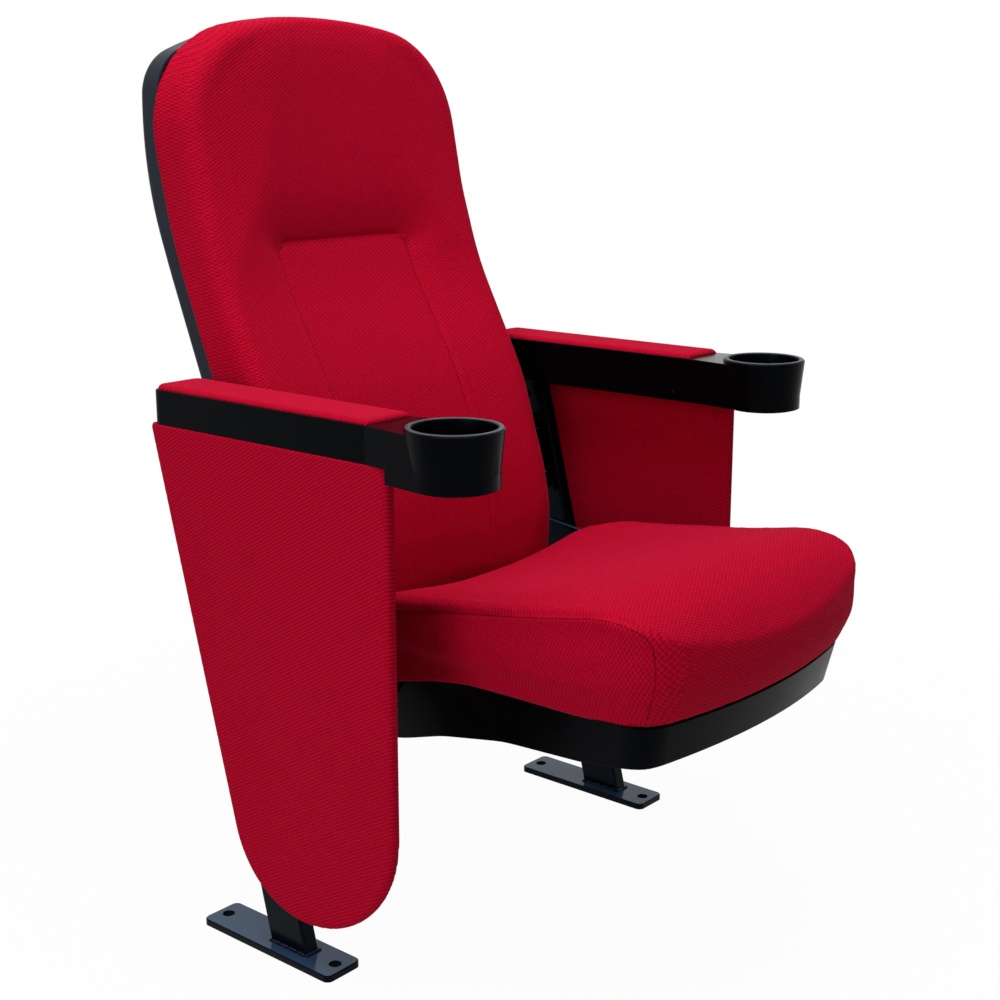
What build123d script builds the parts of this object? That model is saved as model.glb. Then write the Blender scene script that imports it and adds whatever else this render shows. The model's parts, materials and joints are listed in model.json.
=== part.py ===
from build123d import *
import os
from math import asin, atan, cos, degrees, hypot, radians, sin

os.makedirs("parts", exist_ok=True)

# One tip-up auditorium seat with its two end standards.  Millimetres, +Z up.  The sitter
# faces -Y, the middle of the seat is x = 0, and the floor is z = 0 under the bolt pattern.
# Paired pieces are drawn on the sitter's left (x > 0) and mirrored for the right.

# ------------------------------------------------------------------ driving sizes

# Floor plates and posts
foot_long = 214.0
foot_wide = 53.0
foot_thick = 8.0
foot_corner = 8.0
foot_edge = 1.0
bolt_gap = 183.0
bolt_hole_r = 6.5
post_x = 300.0
post_wide = 20.0
post_deep = 60.0
post_wall = 2.5
post_corner = 3.0
post_base_y = -27.2
post_lean = 0.252
post_inner = post_x - post_wide / 2
post_outer = post_x + post_wide / 2

# Upholstered side panel, outside the post
cover_wall = 2.5
panel_board = 9.0
panel_front = -207.5
panel_top = 603.0
panel_top_rear = 165.0
panel_lean = 0.261
panel_bottom = 59.0
panel_front_r = 142.0
panel_rear_r = 112.0
panel_edge = 5.0
panel_break = 1.5
panel_screw_heights = (190.0, 560.0)

# Armrest with its cup holder
arm_x = post_x - 12.0
arm_wide = 70.0
arm_bottom = 588.0
arm_top = 643.0
arm_front = -179.0
arm_rear = 161.0
arm_nose_r = 14.0
arm_wall = 3.0
arm_edge = 1.2
skirt_gap = 0.4
pad_recess = 6.0
pad_rim = 2.5
pad_base = 4.0
pad_crown = 5.5
pad_gap = 0.3
boss_r = 7.0
arm_screw_ys = (-130.0, 30.0)
arm_screw_long = 22.0
cup_y = -267.9
cup_rim = 648.0
cup_deep = 61.4
cup_top_r = 50.2
cup_bottom_r = 44.6
cup_mouth_r = 43.4
cup_floor = 4.0
cup_lip_edge = 1.5
cup_foot_edge = 3.0
neck_r = cup_bottom_r + 1.4
neck_wall = 28.0
rib_ys = (-60.0, 100.0)
rib_rise = 14.0
panel_room_front = 1.5

# Steel plate under the armrest
arm_plate_thick = 4.0
arm_plate_wide = 38.0
arm_plate_front = -205.0
arm_plate_rear = 148.0

# Hinge
tip_angle = 70.0
axle_r = 15.0
axle_y = -77.5
axle_below_board = axle_r + 9.0
axle_wall = 3.0
axle_plug = 40.0
hinge_plate = 6.0
hinge_r = 48.0
hinge_root = 60.0
axle_bolt_r = 5.0
axle_bolt_hex = 17.0
axle_bolt_head = 6.0
axle_washer = 2.0
thread_gap = 0.05
running_gap = 0.05
bush_wall = 2.4
bush_flange = 2.0
sleeve_wall = 2.5
stop_plate = 6.0
stop_lug_wide = 12.0
stop_lug_reach = 47.0
buffer_r = 7.0
buffer_reach = 38.0
stop_gap = 0.2
side_play = 0.5

# Return springs
spring_thick = 1.0
spring_wide = 14.0
spring_pitch = 1.5
spring_half_turns = 5
spring_leg = 34.0
spring_tab = 4.0
spring_tab_wide = 2.0
spring_gap = 0.3
anchor_wide = 12.0
anchor_r = axle_r + 7.5
anchor_slot_r = axle_r + 1.6

# Seat pan, frame and cushion
pan_half = post_x - 100.0
pan_rear = 2.0
pan_front = -467.0
pan_corner_y = -440.0
pan_front_r = 40.0
pan_rear_r = 14.0
pan_top = 346.0
pan_draft = 13.0
pan_wall = 3.0
pan_heel_r = 34.0
under_bend_r = 200.0
under_front = 307.0
under_middle = 281.0
under_heel = 233.0
under_rises = ((-350.0, 6.0), (-243.0, 0.0), (-150.0, -19.0))
under_heel_y = -70.0
under_heel_rise = 3.0
pan_axle_gap = 1.5
seat_board_thick = 12.0
seat_board_inset = 12.0
seat_board_drop = 2.0
rail_x = pan_half - 44.0
anchor_x = rail_x - 60.0
rail_thick = 4.0
rail_flange = 28.0
rail_deep = 30.0
rail_front = -400.0
rail_rear = -28.0
front_bar_y = -370.0
front_bar = 20.0
front_bar_wall = 2.0
rear_bar_thick = 4.0
rear_bar_deep = 46.0
pan_screw_x = 90.0
pan_screw_ys = (-330.0, -190.0)
pan_screw_seat = 298.0
seat_top_ys = (40.0, -30.0, -115.0, -262.0, -392.0, -452.0, -493.0)
seat_top_edges = (350.0, 400.0, 429.0, 450.0, 468.0, 454.0, 400.0)
seat_bend_rs = (60.0, 150.0, 400.0, 130.0, 100.0)
seat_top_rear = 6.0
cushion_bulge = 21.5
bulge_height = 388.0
cushion_top_draft = 0.8
cushion_block = 100.0
belt_r = 40.0
cushion_crown = 5.0
crown_reach = 150.0
cushion_edge = 10.0

# Back
back_half = post_x - 66.0
back_bottom = 350.0
back_top = 1059.0
back_drop = 41.0
back_corner_r = 132.0
back_foot_r = 24.0
# shares of the height at which the side curves below are given
back_shares = (-0.014, 0.141, 0.353, 0.578, 0.705, 0.818, 1.011)
cushion_ys = (14.5, 15.5, 62.0, 144.5, 171.5, 187.0, 203.0)
hollow_deeps = (20.0, 24.0, 24.0, 21.0, 10.0, 8.0, 8.0)
hollow_sag = 28.0
hollow_reach = 60.0
seam_ys = (55.0, 87.0, 140.0, 204.5, 234.5, 239.5, 241.5)
shell_ys = (79.0, 116.0, 173.0, 236.0, 269.0, 275.0, 270.0)
seam_gap = 0.3
shell_inset = 3.0
shell_wall = 3.5
shell_edge = 8.0
shell_corner_r = 60.0
shell_drop = 56.0
back_bend_share = 0.56
back_board = 12.0
back_board_inset = 22.0
back_edge = 19.0
back_reach = 400.0
shell_screw_stand = 10.0
shell_screw_long = 18.0
screw_hole_reach = 60.0
crease_below_top = 267.0
crease_half = 112.0
crease_wide = 9.0
seam_wide = 5.0
seam_deep = 5.0
bracket_thick = 5.0
bracket_low = 430.0
bracket_high = 530.0
bracket_reach = 150.0
bracket_lip = 44.0
bracket_bolt_heights = (450.0, 510.0)
bracket_bolt_ahead = 12.0
seat_sweep_r = 103.0
notch_gap = 2.0
shell_screw_xs = (-150.0, 150.0)
shell_screw_ends = (250.0, 179.0)

# How far a cutting form runs past the piece it cuts
cut_past = 5.0

# Screws and bolts shared by several pieces
screw_r = 2.5
screw_head_r = 5.5
screw_head = 3.0
screw_hole_gap = 0.4
boss_hole_gap = 0.05
bracket_bolt_r = 4.0
bracket_bolt_head_r = 7.0
bracket_bolt_head = 5.0

# ------------------------------------------------------------------ derived sizes

cover_thick = panel_board + 2 * cover_wall
post_top = arm_bottom - arm_plate_thick
bush_outer_r = axle_r + running_gap + bush_wall
bush_flange_r = bush_outer_r + 5.5
sleeve_inner_r = bush_outer_r + running_gap
sleeve_outer_r = sleeve_inner_r + sleeve_wall
stop_plate_r = sleeve_outer_r + 6.0
rail_eye_r = sleeve_outer_r + 12.0
hinge_face = post_inner - hinge_plate
stop_outer = hinge_face - side_play - bush_flange
stop_inner = stop_outer - stop_plate
seat_board_z = pan_top - seat_board_drop
axle_z = seat_board_z - axle_below_board
pan_deep = pan_top - under_heel + 10.0
pan_screw_spots = [(x, y) for x in (-pan_screw_x, pan_screw_x) for y in pan_screw_ys]
back_high = back_top - back_bottom
back_heights = [back_bottom + share * back_high for share in back_shares]
back_bend_r = back_bend_share * back_high
crease_height = back_top - crease_below_top
shell_screw_zs = (back_bottom + shell_screw_ends[0], back_top - shell_screw_ends[1])
hollow_ys = [y + deep for y, deep in zip(cushion_ys, hollow_deeps)]
ahead_of = (Align.CENTER, Align.MAX, Align.CENTER)
spring_top = seat_board_z - axle_z - spring_gap - spring_thick / 2
spring_inner_r = spring_top - spring_pitch / 4 - spring_pitch * (spring_half_turns - 1) / 2
notch_turn = degrees(asin((spring_tab_wide / 2 + spring_gap) / spring_inner_r))
stop_spread = degrees(asin((buffer_r + stop_lug_wide / 2 + stop_gap) / buffer_reach))


# ------------------------------------------------------------------ helpers

def save(piece, label):
    """Name a finished piece and write its file."""
    piece.part.label = label
    export_step(piece.part, f"parts/{label}.step")


def save_pair(piece, name):
    """Write the left piece, and its mirror image as the right one."""
    with BuildPart() as twin:
        mirror(piece.part, about=Plane.YZ)
    save(piece, "left_" + name)
    save(twin, "right_" + name)


def post_y(height):
    """Middle of the leaning post at a height."""
    return post_base_y + post_lean * height


def at_axle(x):
    """Plane square to the axle at x, with its centre on the axle."""
    return Plane(origin=(x, axle_y, axle_z), x_dir=(0, 1, 0), z_dir=(1, 0, 0))


def rim(piece, facing):
    """Edges round the faces that look one way, without those between two such faces."""
    faces = piece.faces().filter_by(lambda face: face.normal_at().dot(facing) > 0.35)
    edges = [edge for face in faces for edge in face.edges()]
    return [edge for edge in edges if sum(edge.is_same(other) for other in edges) == 1]


def leaning_strip(x, half_deep, bottom, top):
    """Side view of a strip that follows the post's lean."""
    with BuildSketch(Plane.YZ.offset(x)) as strip:
        Polygon(
            (post_y(bottom) - half_deep, bottom),
            (post_y(bottom) + half_deep, bottom),
            (post_y(top) + half_deep, top),
            (post_y(top) - half_deep, top),
            align=None,
        )
    return strip.sketch


def screw(plane, radius, length, head_radius, head):
    """A headed screw that goes into the plane, its head standing on the near side."""
    with BuildSketch(plane) as shank:
        Circle(radius)
    extrude(shank.sketch, amount=length)
    with BuildSketch(plane) as cap:
        Circle(head_radius)
    extrude(cap.sketch, amount=-head)


# ------------------------------------------------------------------ floor plates and posts

with BuildPart() as foot_plate:
    with BuildSketch() as foot_plan:
        with Locations((post_x, 0)):
            RectangleRounded(foot_wide, foot_long, foot_corner)
        with Locations((post_x, -bolt_gap / 2), (post_x, bolt_gap / 2)):
            Circle(bolt_hole_r, mode=Mode.SUBTRACT)
    extrude(amount=foot_thick)
    top_face = foot_plate.faces().sort_by(Axis.Z)[-1]
    chamfer(top_face.edges(), length=foot_edge)
save_pair(foot_plate, "foot_plate")

with BuildPart() as post:
    extrude(leaning_strip(post_inner, post_deep / 2, foot_thick, post_top), amount=post_wide)
    fillet(post.edges().filter_by(Axis((0, 0, 0), (0, post_lean, 1))), radius=post_corner)
    bore_half = post_deep / 2 - post_wall * hypot(1, post_lean)
    bore = leaning_strip(post_inner + post_wall, bore_half, 0, arm_top)
    extrude(bore, amount=post_wide - 2 * post_wall, mode=Mode.SUBTRACT)
    for height in panel_screw_heights:
        with BuildSketch(Plane.YZ.offset(post_inner)) as screw_hole:
            with Locations((post_y(height), height)):
                Circle(screw_r + screw_hole_gap)
        extrude(amount=post_wide, mode=Mode.SUBTRACT)
    for height in bracket_bolt_heights:
        with BuildSketch(Plane.YZ.offset(post_inner)) as bolt_hole:
            with Locations((post_y(height) - bracket_bolt_ahead, height)):
                Circle(bracket_bolt_r + thread_gap)
        extrude(amount=post_wall, mode=Mode.SUBTRACT)
save_pair(post, "post")


# ------------------------------------------------------------------ upholstered side panels

def panel_outline(x, inset, top):
    """Side view of the panel, inset all round below its top edge."""
    slant = inset * hypot(1, panel_lean)
    rear_at = panel_top_rear - slant
    with BuildSketch(Plane.YZ.offset(x)) as outline:
        Polygon(
            (panel_front + inset, top),
            (panel_front + inset, panel_bottom + inset),
            (rear_at + panel_lean * (panel_bottom + inset - panel_top), panel_bottom + inset),
            (rear_at + panel_lean * (top - panel_top), top),
            align=None,
        )
        front_foot = outline.vertices().group_by(Axis.Y)[0].sort_by(Axis.X)[0]
        fillet(front_foot, radius=panel_front_r - inset)
        rear_foot = outline.vertices().group_by(Axis.Y)[0].sort_by(Axis.X)[-1]
        fillet(rear_foot, radius=panel_rear_r - inset)
    return outline.sketch


def below_top(edge):
    """Tells the panel's rounded edges from the straight one under the armrest."""
    return edge.center().Z < panel_top - 1


with BuildPart() as side_board:
    extrude(
        panel_outline(post_outer + cover_wall, cover_wall, panel_top - cover_wall),
        amount=panel_board,
    )
    for height in panel_screw_heights:
        with BuildSketch(Plane.YZ.offset(post_outer + cover_wall)) as pilot:
            with Locations((post_y(height), height)):
                Circle(screw_r + boss_hole_gap)
        extrude(amount=panel_board - cover_wall, mode=Mode.SUBTRACT)
save_pair(side_board, "side_board")

with BuildPart() as side_cover:
    extrude(panel_outline(post_outer, 0, panel_top), amount=cover_thick)
    inner_face, outer_face = side_cover.faces().filter_by(Axis.X).sort_by(Axis.X)
    chamfer(inner_face.edges().filter_by(below_top), length=panel_break)
    fillet(outer_face.edges().filter_by(below_top), radius=panel_edge)
    pocket = panel_outline(post_outer + cover_wall, cover_wall, panel_top + 1)
    extrude(pocket, amount=panel_board, mode=Mode.SUBTRACT)
    for height in panel_screw_heights:
        with BuildSketch(Plane.YZ.offset(post_outer)) as screw_hole:
            with Locations((post_y(height), height)):
                Circle(screw_r + screw_hole_gap)
        extrude(amount=cover_wall, mode=Mode.SUBTRACT)
save_pair(side_cover, "side_cover")

for number, height in enumerate(panel_screw_heights, start=1):
    with BuildPart() as panel_screw:
        seat = Plane(
            origin=(post_inner, post_y(height), height), x_dir=(0, 1, 0), z_dir=(1, 0, 0)
        )
        length = post_wide + cover_wall + panel_board - 2 * cover_wall
        screw(seat, screw_r, length, screw_head_r, screw_head)
    save_pair(panel_screw, f"panel_screw_{number}")


# ------------------------------------------------------------------ armrests

def arm_slab(inset, front, bottom, top, mode=Mode.ADD):
    """A slab of the armrest's plan behind the cup, inset all round, with its round rear end."""
    rear = arm_rear - inset
    with BuildSketch(Plane.XY.offset(bottom)) as plan:
        with Locations((arm_x, (front + rear) / 2)):
            Rectangle(arm_wide - 2 * inset, rear - front)
        fillet(plan.vertices().group_by(Axis.Y)[-1], radius=arm_nose_r - inset)
    extrude(plan.sketch, amount=top - bottom, mode=mode)


with BuildPart() as arm_plate:
    with BuildSketch(Plane.XY.offset(post_top)) as plate_plan:
        with Locations((arm_x, (arm_plate_front + arm_plate_rear) / 2)):
            RectangleRounded(arm_plate_wide, arm_plate_rear - arm_plate_front, foot_corner)
        with Locations(*[(arm_x, y) for y in arm_screw_ys]):
            Circle(screw_r + screw_hole_gap, mode=Mode.SUBTRACT)
    extrude(amount=arm_plate_thick)
save_pair(arm_plate, "arm_plate")

with BuildPart() as armrest:
    arm_slab(0, arm_front - 1, arm_bottom, arm_top)
    # neck that widens from the straight part to the cup
    with BuildSketch(Plane.XY.offset(arm_bottom)) as neck:
        with Locations((arm_x, cup_y)):
            Circle(neck_r)
        with Locations((arm_x, arm_front)):
            Rectangle(arm_wide, 2)
        make_hull()
    extrude(amount=arm_top - arm_bottom)
    chamfer(armrest.faces().sort_by(Axis.Z)[-1].edges(), length=arm_edge)
    # hollow under the top, behind the neck, and the room that the side panel takes
    recess_floor = arm_top - pad_recess
    hollow_front = arm_front - neck_wall
    arm_slab(arm_wall, hollow_front, arm_bottom, recess_floor - arm_wall, mode=Mode.SUBTRACT)
    with BuildSketch(Plane.XY.offset(arm_bottom)) as panel_room:
        room_inner = post_outer - skirt_gap
        room_front = panel_front - panel_room_front
        with Locations((room_inner, room_front)):
            Rectangle(arm_wide, 2 * (arm_rear - room_front), align=(Align.MIN, Align.MIN))
    extrude(amount=panel_top + skirt_gap - arm_bottom, mode=Mode.SUBTRACT)
    # wall that closes the body beside the side panel, and the ledge above it
    with BuildSketch(Plane.XY.offset(arm_bottom)) as inner_skirt:
        with Locations((room_inner, room_front)):
            Rectangle(arm_wall, arm_rear - arm_nose_r - room_front, align=(Align.MAX, Align.MIN))
    extrude(amount=recess_floor - arm_wall - arm_bottom)
    with BuildSketch(Plane.XY.offset(panel_top + skirt_gap)) as ledge:
        with Locations((room_inner, room_front)):
            Rectangle(
                arm_x + arm_wide / 2 - room_inner,
                arm_rear - arm_nose_r - room_front,
                align=(Align.MIN, Align.MIN),
            )
    extrude(amount=arm_wall)
    # stiffening ribs and screw bosses
    for rib_y in rib_ys:
        with BuildSketch(Plane.XZ.offset(-rib_y)) as rib:
            with Locations((arm_x - arm_wide / 2, arm_bottom + rib_rise)):
                Rectangle(
                    post_outer - arm_x + arm_wide / 2 - skirt_gap,
                    recess_floor - arm_bottom - rib_rise,
                    align=(Align.MIN, Align.MIN),
                )
        extrude(amount=arm_wall / 2, both=True)
    with BuildSketch(Plane.XY.offset(arm_bottom)) as bosses:
        with Locations(*[(arm_x, y) for y in arm_screw_ys]):
            Circle(boss_r)
    extrude(amount=recess_floor - arm_bottom)
    with BuildSketch(Plane.XY.offset(arm_bottom)) as boss_holes:
        with Locations(*[(arm_x, y) for y in arm_screw_ys]):
            Circle(screw_r + boss_hole_gap)
    extrude(amount=recess_floor - arm_bottom - 10, mode=Mode.SUBTRACT)
    # recess for the pad
    arm_slab(pad_rim, arm_front, recess_floor, arm_top, mode=Mode.SUBTRACT)
    # tapered cup with a closed floor, its lip and foot broken by small chamfers
    foot_z = cup_rim - cup_deep
    cup_wall = cup_top_r - cup_mouth_r
    with BuildSketch(Plane.XZ.offset(-cup_y)) as cup_profile:
        Polygon(
            (arm_x, foot_z),
            (arm_x + cup_bottom_r - cup_foot_edge, foot_z),
            (arm_x + cup_bottom_r, foot_z + cup_foot_edge),
            (arm_x + cup_top_r, cup_rim - cup_lip_edge),
            (arm_x + cup_top_r - cup_lip_edge, cup_rim),
            (arm_x, cup_rim),
            align=None,
        )
    revolve(axis=Axis((arm_x, cup_y, 0), (0, 0, 1)))
    with BuildSketch(Plane.XZ.offset(-cup_y)) as cup_room:
        Polygon(
            (arm_x, foot_z + cup_floor),
            (arm_x + cup_bottom_r - cup_wall, foot_z + cup_floor),
            (arm_x + cup_mouth_r, cup_rim - cup_lip_edge),
            (arm_x + cup_mouth_r + cup_lip_edge, cup_rim),
            (arm_x, cup_rim),
            align=None,
        )
    revolve(axis=Axis((arm_x, cup_y, 0), (0, 0, 1)), mode=Mode.SUBTRACT)
save_pair(armrest, "armrest")

with BuildPart() as arm_pad_base:
    arm_slab(pad_rim + pad_gap, arm_front + pad_gap, recess_floor, recess_floor + pad_base)
save_pair(arm_pad_base, "arm_pad_base")

with BuildPart() as arm_pad:
    pad_bottom = recess_floor + pad_base
    pad_top = arm_top + pad_crown
    arm_slab(pad_rim + pad_gap, arm_front + pad_gap, pad_bottom, pad_top)
    fillet(arm_pad.faces().sort_by(Axis.Z)[-1].edges(), radius=pad_crown)
save_pair(arm_pad, "arm_pad")

for number, y in enumerate(arm_screw_ys, start=1):
    with BuildPart() as arm_screw:
        seat = Plane(origin=(arm_x, y, post_top))
        screw(seat, screw_r, arm_screw_long, screw_head_r, screw_head)
    save_pair(arm_screw, f"arm_screw_{number}")

# ------------------------------------------------------------------ hinge: fixed pieces

with BuildPart() as hinge_bracket:
    with BuildSketch(Plane.YZ.offset(hinge_face)) as bracket_side:
        with Locations((axle_y, axle_z)):
            Circle(hinge_r)
        for height in (axle_z - hinge_root, axle_z + hinge_root):
            with Locations((post_y(height), height)):
                Circle(foot_corner)
        make_hull()
        with Locations((axle_y, axle_z)):
            Circle(axle_bolt_r + screw_hole_gap, mode=Mode.SUBTRACT)
    extrude(amount=hinge_plate)
save_pair(hinge_bracket, "hinge_bracket")

with BuildPart() as seat_axle:
    with BuildSketch(at_axle(0)) as rod:
        Circle(axle_r)
    extrude(amount=hinge_face, both=True)
    with BuildSketch(at_axle(0)) as bore:
        Circle(axle_r - axle_wall)
    extrude(amount=hinge_face - axle_plug, both=True, mode=Mode.SUBTRACT)
    with BuildSketch(at_axle(0)) as threads:
        Circle(axle_bolt_r + thread_gap)
    extrude(amount=hinge_face, both=True, mode=Mode.SUBTRACT)
save(seat_axle, "seat_axle")

with BuildPart() as axle_bolt:
    with BuildSketch(at_axle(post_inner)) as washer:
        Circle(2 * axle_bolt_r)
    extrude(amount=axle_washer)
    with BuildSketch(at_axle(post_inner + axle_washer)) as hex_head:
        RegularPolygon(axle_bolt_hex / 2, 6, major_radius=False)
    extrude(amount=axle_bolt_head)
    with BuildSketch(at_axle(post_inner)) as shank:
        Circle(axle_bolt_r)
    extrude(amount=-(hinge_plate + 0.75 * axle_plug))
save_pair(axle_bolt, "axle_bolt")

# Rubber stops on the bracket: the lug lies between them and touches one at each end
for name, angle in (("down_stop", stop_spread), ("up_stop", -tip_angle - stop_spread)):
    with BuildPart() as stop:
        with BuildSketch(at_axle(stop_inner)) as rubber:
            place = (buffer_reach * cos(radians(angle)), buffer_reach * sin(radians(angle)))
            with Locations(place):
                Circle(buffer_r)
        extrude(amount=hinge_face - stop_inner)
        chamfer(stop.faces().sort_by(Axis.X)[0].edges(), length=foot_edge)
    save_pair(stop, name)

with BuildPart() as spring_anchor:
    with BuildSketch(at_axle(anchor_x - anchor_wide)) as collar:
        Circle(anchor_r)
        Circle(axle_r + running_gap, mode=Mode.SUBTRACT)
    extrude(amount=anchor_wide)
    # notch that the spring's inner end turns in
    with BuildSketch(at_axle(anchor_x - anchor_wide / 2)) as notch:
        Circle(anchor_r + 1)
        Circle(anchor_slot_r, mode=Mode.SUBTRACT)
        Rectangle(
            4 * anchor_r,
            2 * anchor_r,
            rotation=notch_turn - 90,
            align=(Align.CENTER, Align.MAX),
            mode=Mode.INTERSECT,
        )
    extrude(amount=anchor_wide, mode=Mode.SUBTRACT)
save_pair(spring_anchor, "spring_anchor")

# ------------------------------------------------------------------ hinge: turning pieces

with BuildPart() as hinge_sleeve:
    with BuildSketch(at_axle(rail_x)) as tube:
        Circle(sleeve_outer_r)
        Circle(sleeve_inner_r, mode=Mode.SUBTRACT)
    extrude(amount=stop_outer - rail_x)
    with BuildSketch(at_axle(stop_inner)) as stop_side:
        Circle(stop_plate_r)
        Rectangle(stop_lug_reach, stop_lug_wide, align=(Align.MIN, Align.CENTER))
        Circle(sleeve_inner_r, mode=Mode.SUBTRACT)
    extrude(amount=stop_plate)
save_pair(hinge_sleeve, "hinge_sleeve")

with BuildPart() as hinge_bush:
    with BuildSketch(at_axle(rail_x)) as lining:
        Circle(bush_outer_r)
    extrude(amount=stop_outer - rail_x)
    with BuildSketch(at_axle(stop_outer)) as flange:
        Circle(bush_flange_r)
    extrude(amount=bush_flange)
    with BuildSketch(at_axle(rail_x)) as running_bore:
        Circle(axle_r + running_gap)
    extrude(amount=stop_outer + bush_flange - rail_x, mode=Mode.SUBTRACT)
save_pair(hinge_bush, "hinge_bush")

with BuildPart() as return_spring:
    # flat spiral of half turns, wound from the anchor out to the underside of the seat board
    spring_side = at_axle(anchor_x + spring_gap)
    with BuildLine(spring_side) as spiral:
        low = spring_pitch / 4 - spring_inner_r
        for half_turn in range(spring_half_turns):
            radius = spring_inner_r + half_turn * spring_pitch / 2
            way = 1 if half_turn % 2 == 0 else -1
            middle = low + way * radius
            ThreePointArc((0, low), (way * radius, middle), (0, low + 2 * way * radius))
            low += 2 * way * radius
        Line((0, low), (-spring_leg, low))
    start = Plane(origin=spiral.wires()[0] @ 0, x_dir=(1, 0, 0), z_dir=spiral.wires()[0] % 0)
    with BuildSketch(start) as strip:
        Rectangle(spring_wide, spring_thick, align=(Align.MIN, Align.CENTER))
    sweep(strip.sketch, path=spiral.wires()[0])
    # inner end, turned along the axle into the anchor's notch
    with BuildSketch(spring_side) as tab:
        with Locations((0, spring_pitch / 4 - spring_inner_r)):
            Rectangle(spring_tab_wide, spring_thick)
    extrude(tab.sketch, amount=spring_thick)
    extrude(tab.sketch, amount=-spring_tab)
save_pair(return_spring, "return_spring")


# ------------------------------------------------------------------ seat

def pan_plan(grow, height):
    """Plan of the seat pan, grown or shrunk all round: bowed front, round corners."""
    with BuildSketch(Plane.XY.offset(height)) as plan:
        with BuildLine():
            bow = ThreePointArc((-pan_half, pan_corner_y), (0, pan_front), (pan_half, pan_corner_y))
            Polyline(bow @ 1, (pan_half, pan_rear), (-pan_half, pan_rear), bow @ 0)
        make_face()
        fillet(plan.vertices().group_by(Axis.Y)[0], radius=pan_front_r)
        fillet(plan.vertices().group_by(Axis.Y)[-1], radius=pan_rear_r)
        if grow:
            offset(amount=grow)
    return plan.sketch


def pan_side(rise, top):
    """Side view of the space above the pan's underside, which is raised by rise."""
    with BuildSketch(Plane.YZ) as side:
        with BuildLine():
            bends = [(y, under_middle + step + rise) for y, step in under_rises]
            under = FilletPolyline(
                (pan_front - 20, under_front + rise),
                *bends,
                (under_heel_y, under_heel + under_heel_rise + rise),
                (pan_rear - rise, under_heel + rise),
                radius=under_bend_r,
            )
            Polyline(under @ 1, (pan_rear - rise, top), (pan_front - 20, top), under @ 0)
        make_face()
        heel = side.vertices().sort_by(Axis.Y)[0]
        fillet(heel, radius=pan_heel_r - rise)
    return side.sketch


with BuildPart() as pan_inside:
    extrude(pan_plan(-pan_wall, pan_top), amount=-pan_deep, taper=pan_draft)
    extrude(pan_side(pan_wall, pan_top + cut_past), amount=2 * pan_half, both=True, mode=Mode.INTERSECT)

with BuildPart() as pan_outside:
    extrude(pan_plan(0, pan_top), amount=-pan_deep, taper=pan_draft)
    extrude(pan_side(0, pan_top + cut_past), amount=2 * pan_half, both=True, mode=Mode.INTERSECT)

with BuildPart() as pan_bosses:
    with BuildSketch(Plane.XY.offset(seat_board_z)) as boss_plan:
        with Locations(*pan_screw_spots):
            Circle(boss_r)
    extrude(amount=-pan_deep)
    add(pan_outside.part, mode=Mode.INTERSECT)

with BuildPart() as seat_pan:
    add(pan_outside.part)
    add(pan_inside.part, mode=Mode.SUBTRACT)
    add(pan_bosses.part)
    with BuildSketch(Plane.XY.offset(pan_screw_seat)) as screw_holes:
        with Locations(*pan_screw_spots):
            Circle(screw_r + screw_hole_gap)
    extrude(amount=pan_deep, mode=Mode.SUBTRACT)
    with BuildSketch(Plane.XY.offset(pan_screw_seat)) as head_pockets:
        with Locations(*pan_screw_spots):
            Circle(screw_head_r + screw_hole_gap)
    extrude(amount=-pan_deep, mode=Mode.SUBTRACT)
    with BuildSketch(at_axle(0)) as sleeve_holes:
        Circle(sleeve_outer_r + pan_axle_gap)
    extrude(amount=pan_half + cut_past, both=True, mode=Mode.SUBTRACT)
save(seat_pan, "seat_pan")

with BuildPart() as seat_pan_screws:
    for x, y in pan_screw_spots:
        seat = Plane(origin=(x, y, pan_screw_seat))
        length = seat_board_z - pan_screw_seat + 0.75 * seat_board_thick
        screw(seat, screw_r, length, screw_head_r, screw_head)
save(seat_pan_screws, "seat_pan_screws")

with BuildPart() as seat_board:
    extrude(pan_plan(-seat_board_inset, seat_board_z), amount=seat_board_thick)
    with BuildSketch(Plane.XY.offset(seat_board_z)) as pilots:
        with Locations(*pan_screw_spots):
            Circle(screw_r + boss_hole_gap)
    extrude(amount=0.8 * seat_board_thick, mode=Mode.SUBTRACT)
save(seat_board, "seat_board")

with BuildPart() as seat_rail:
    with BuildSketch(Plane.YZ.offset(rail_x)) as web:
        with Locations((rail_front, seat_board_z)):
            Rectangle(rail_rear - rail_front, rail_deep, align=(Align.MIN, Align.MAX))
        with Locations((axle_y, axle_z)):
            Circle(rail_eye_r)
        with Locations((axle_y, seat_board_z)):
            Rectangle(-2 * rail_front, 4 * rail_eye_r, align=(Align.CENTER, Align.MAX), mode=Mode.INTERSECT)
        with Locations((axle_y, axle_z)):
            Circle(sleeve_inner_r, mode=Mode.SUBTRACT)
    extrude(amount=-rail_thick)
    with BuildSketch(Plane.XY.offset(seat_board_z)) as flange:
        with Locations((rail_x, rail_front)):
            Rectangle(rail_flange, rail_rear - rail_front, align=(Align.MAX, Align.MIN))
    extrude(amount=-rail_thick)
save_pair(seat_rail, "seat_rail")

with BuildPart() as seat_front_bar:
    with BuildSketch(Plane.YZ) as bar_side:
        with Locations((front_bar_y, seat_board_z - rail_thick - front_bar / 2)):
            RectangleRounded(front_bar, front_bar, front_bar_wall)
            Rectangle(
                front_bar - 2 * front_bar_wall, front_bar - 2 * front_bar_wall, mode=Mode.SUBTRACT
            )
    extrude(amount=rail_x - rail_thick, both=True)
save(seat_front_bar, "seat_front_bar")

with BuildPart() as seat_rear_bar:
    with BuildSketch(Plane.YZ) as bar_side:
        with Locations((rail_rear - rear_bar_thick, seat_board_z - rail_thick)):
            Rectangle(rear_bar_thick, rear_bar_deep, align=(Align.MIN, Align.MAX))
    extrude(amount=rail_x - rail_thick, both=True)
save(seat_rear_bar, "seat_rear_bar")

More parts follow.
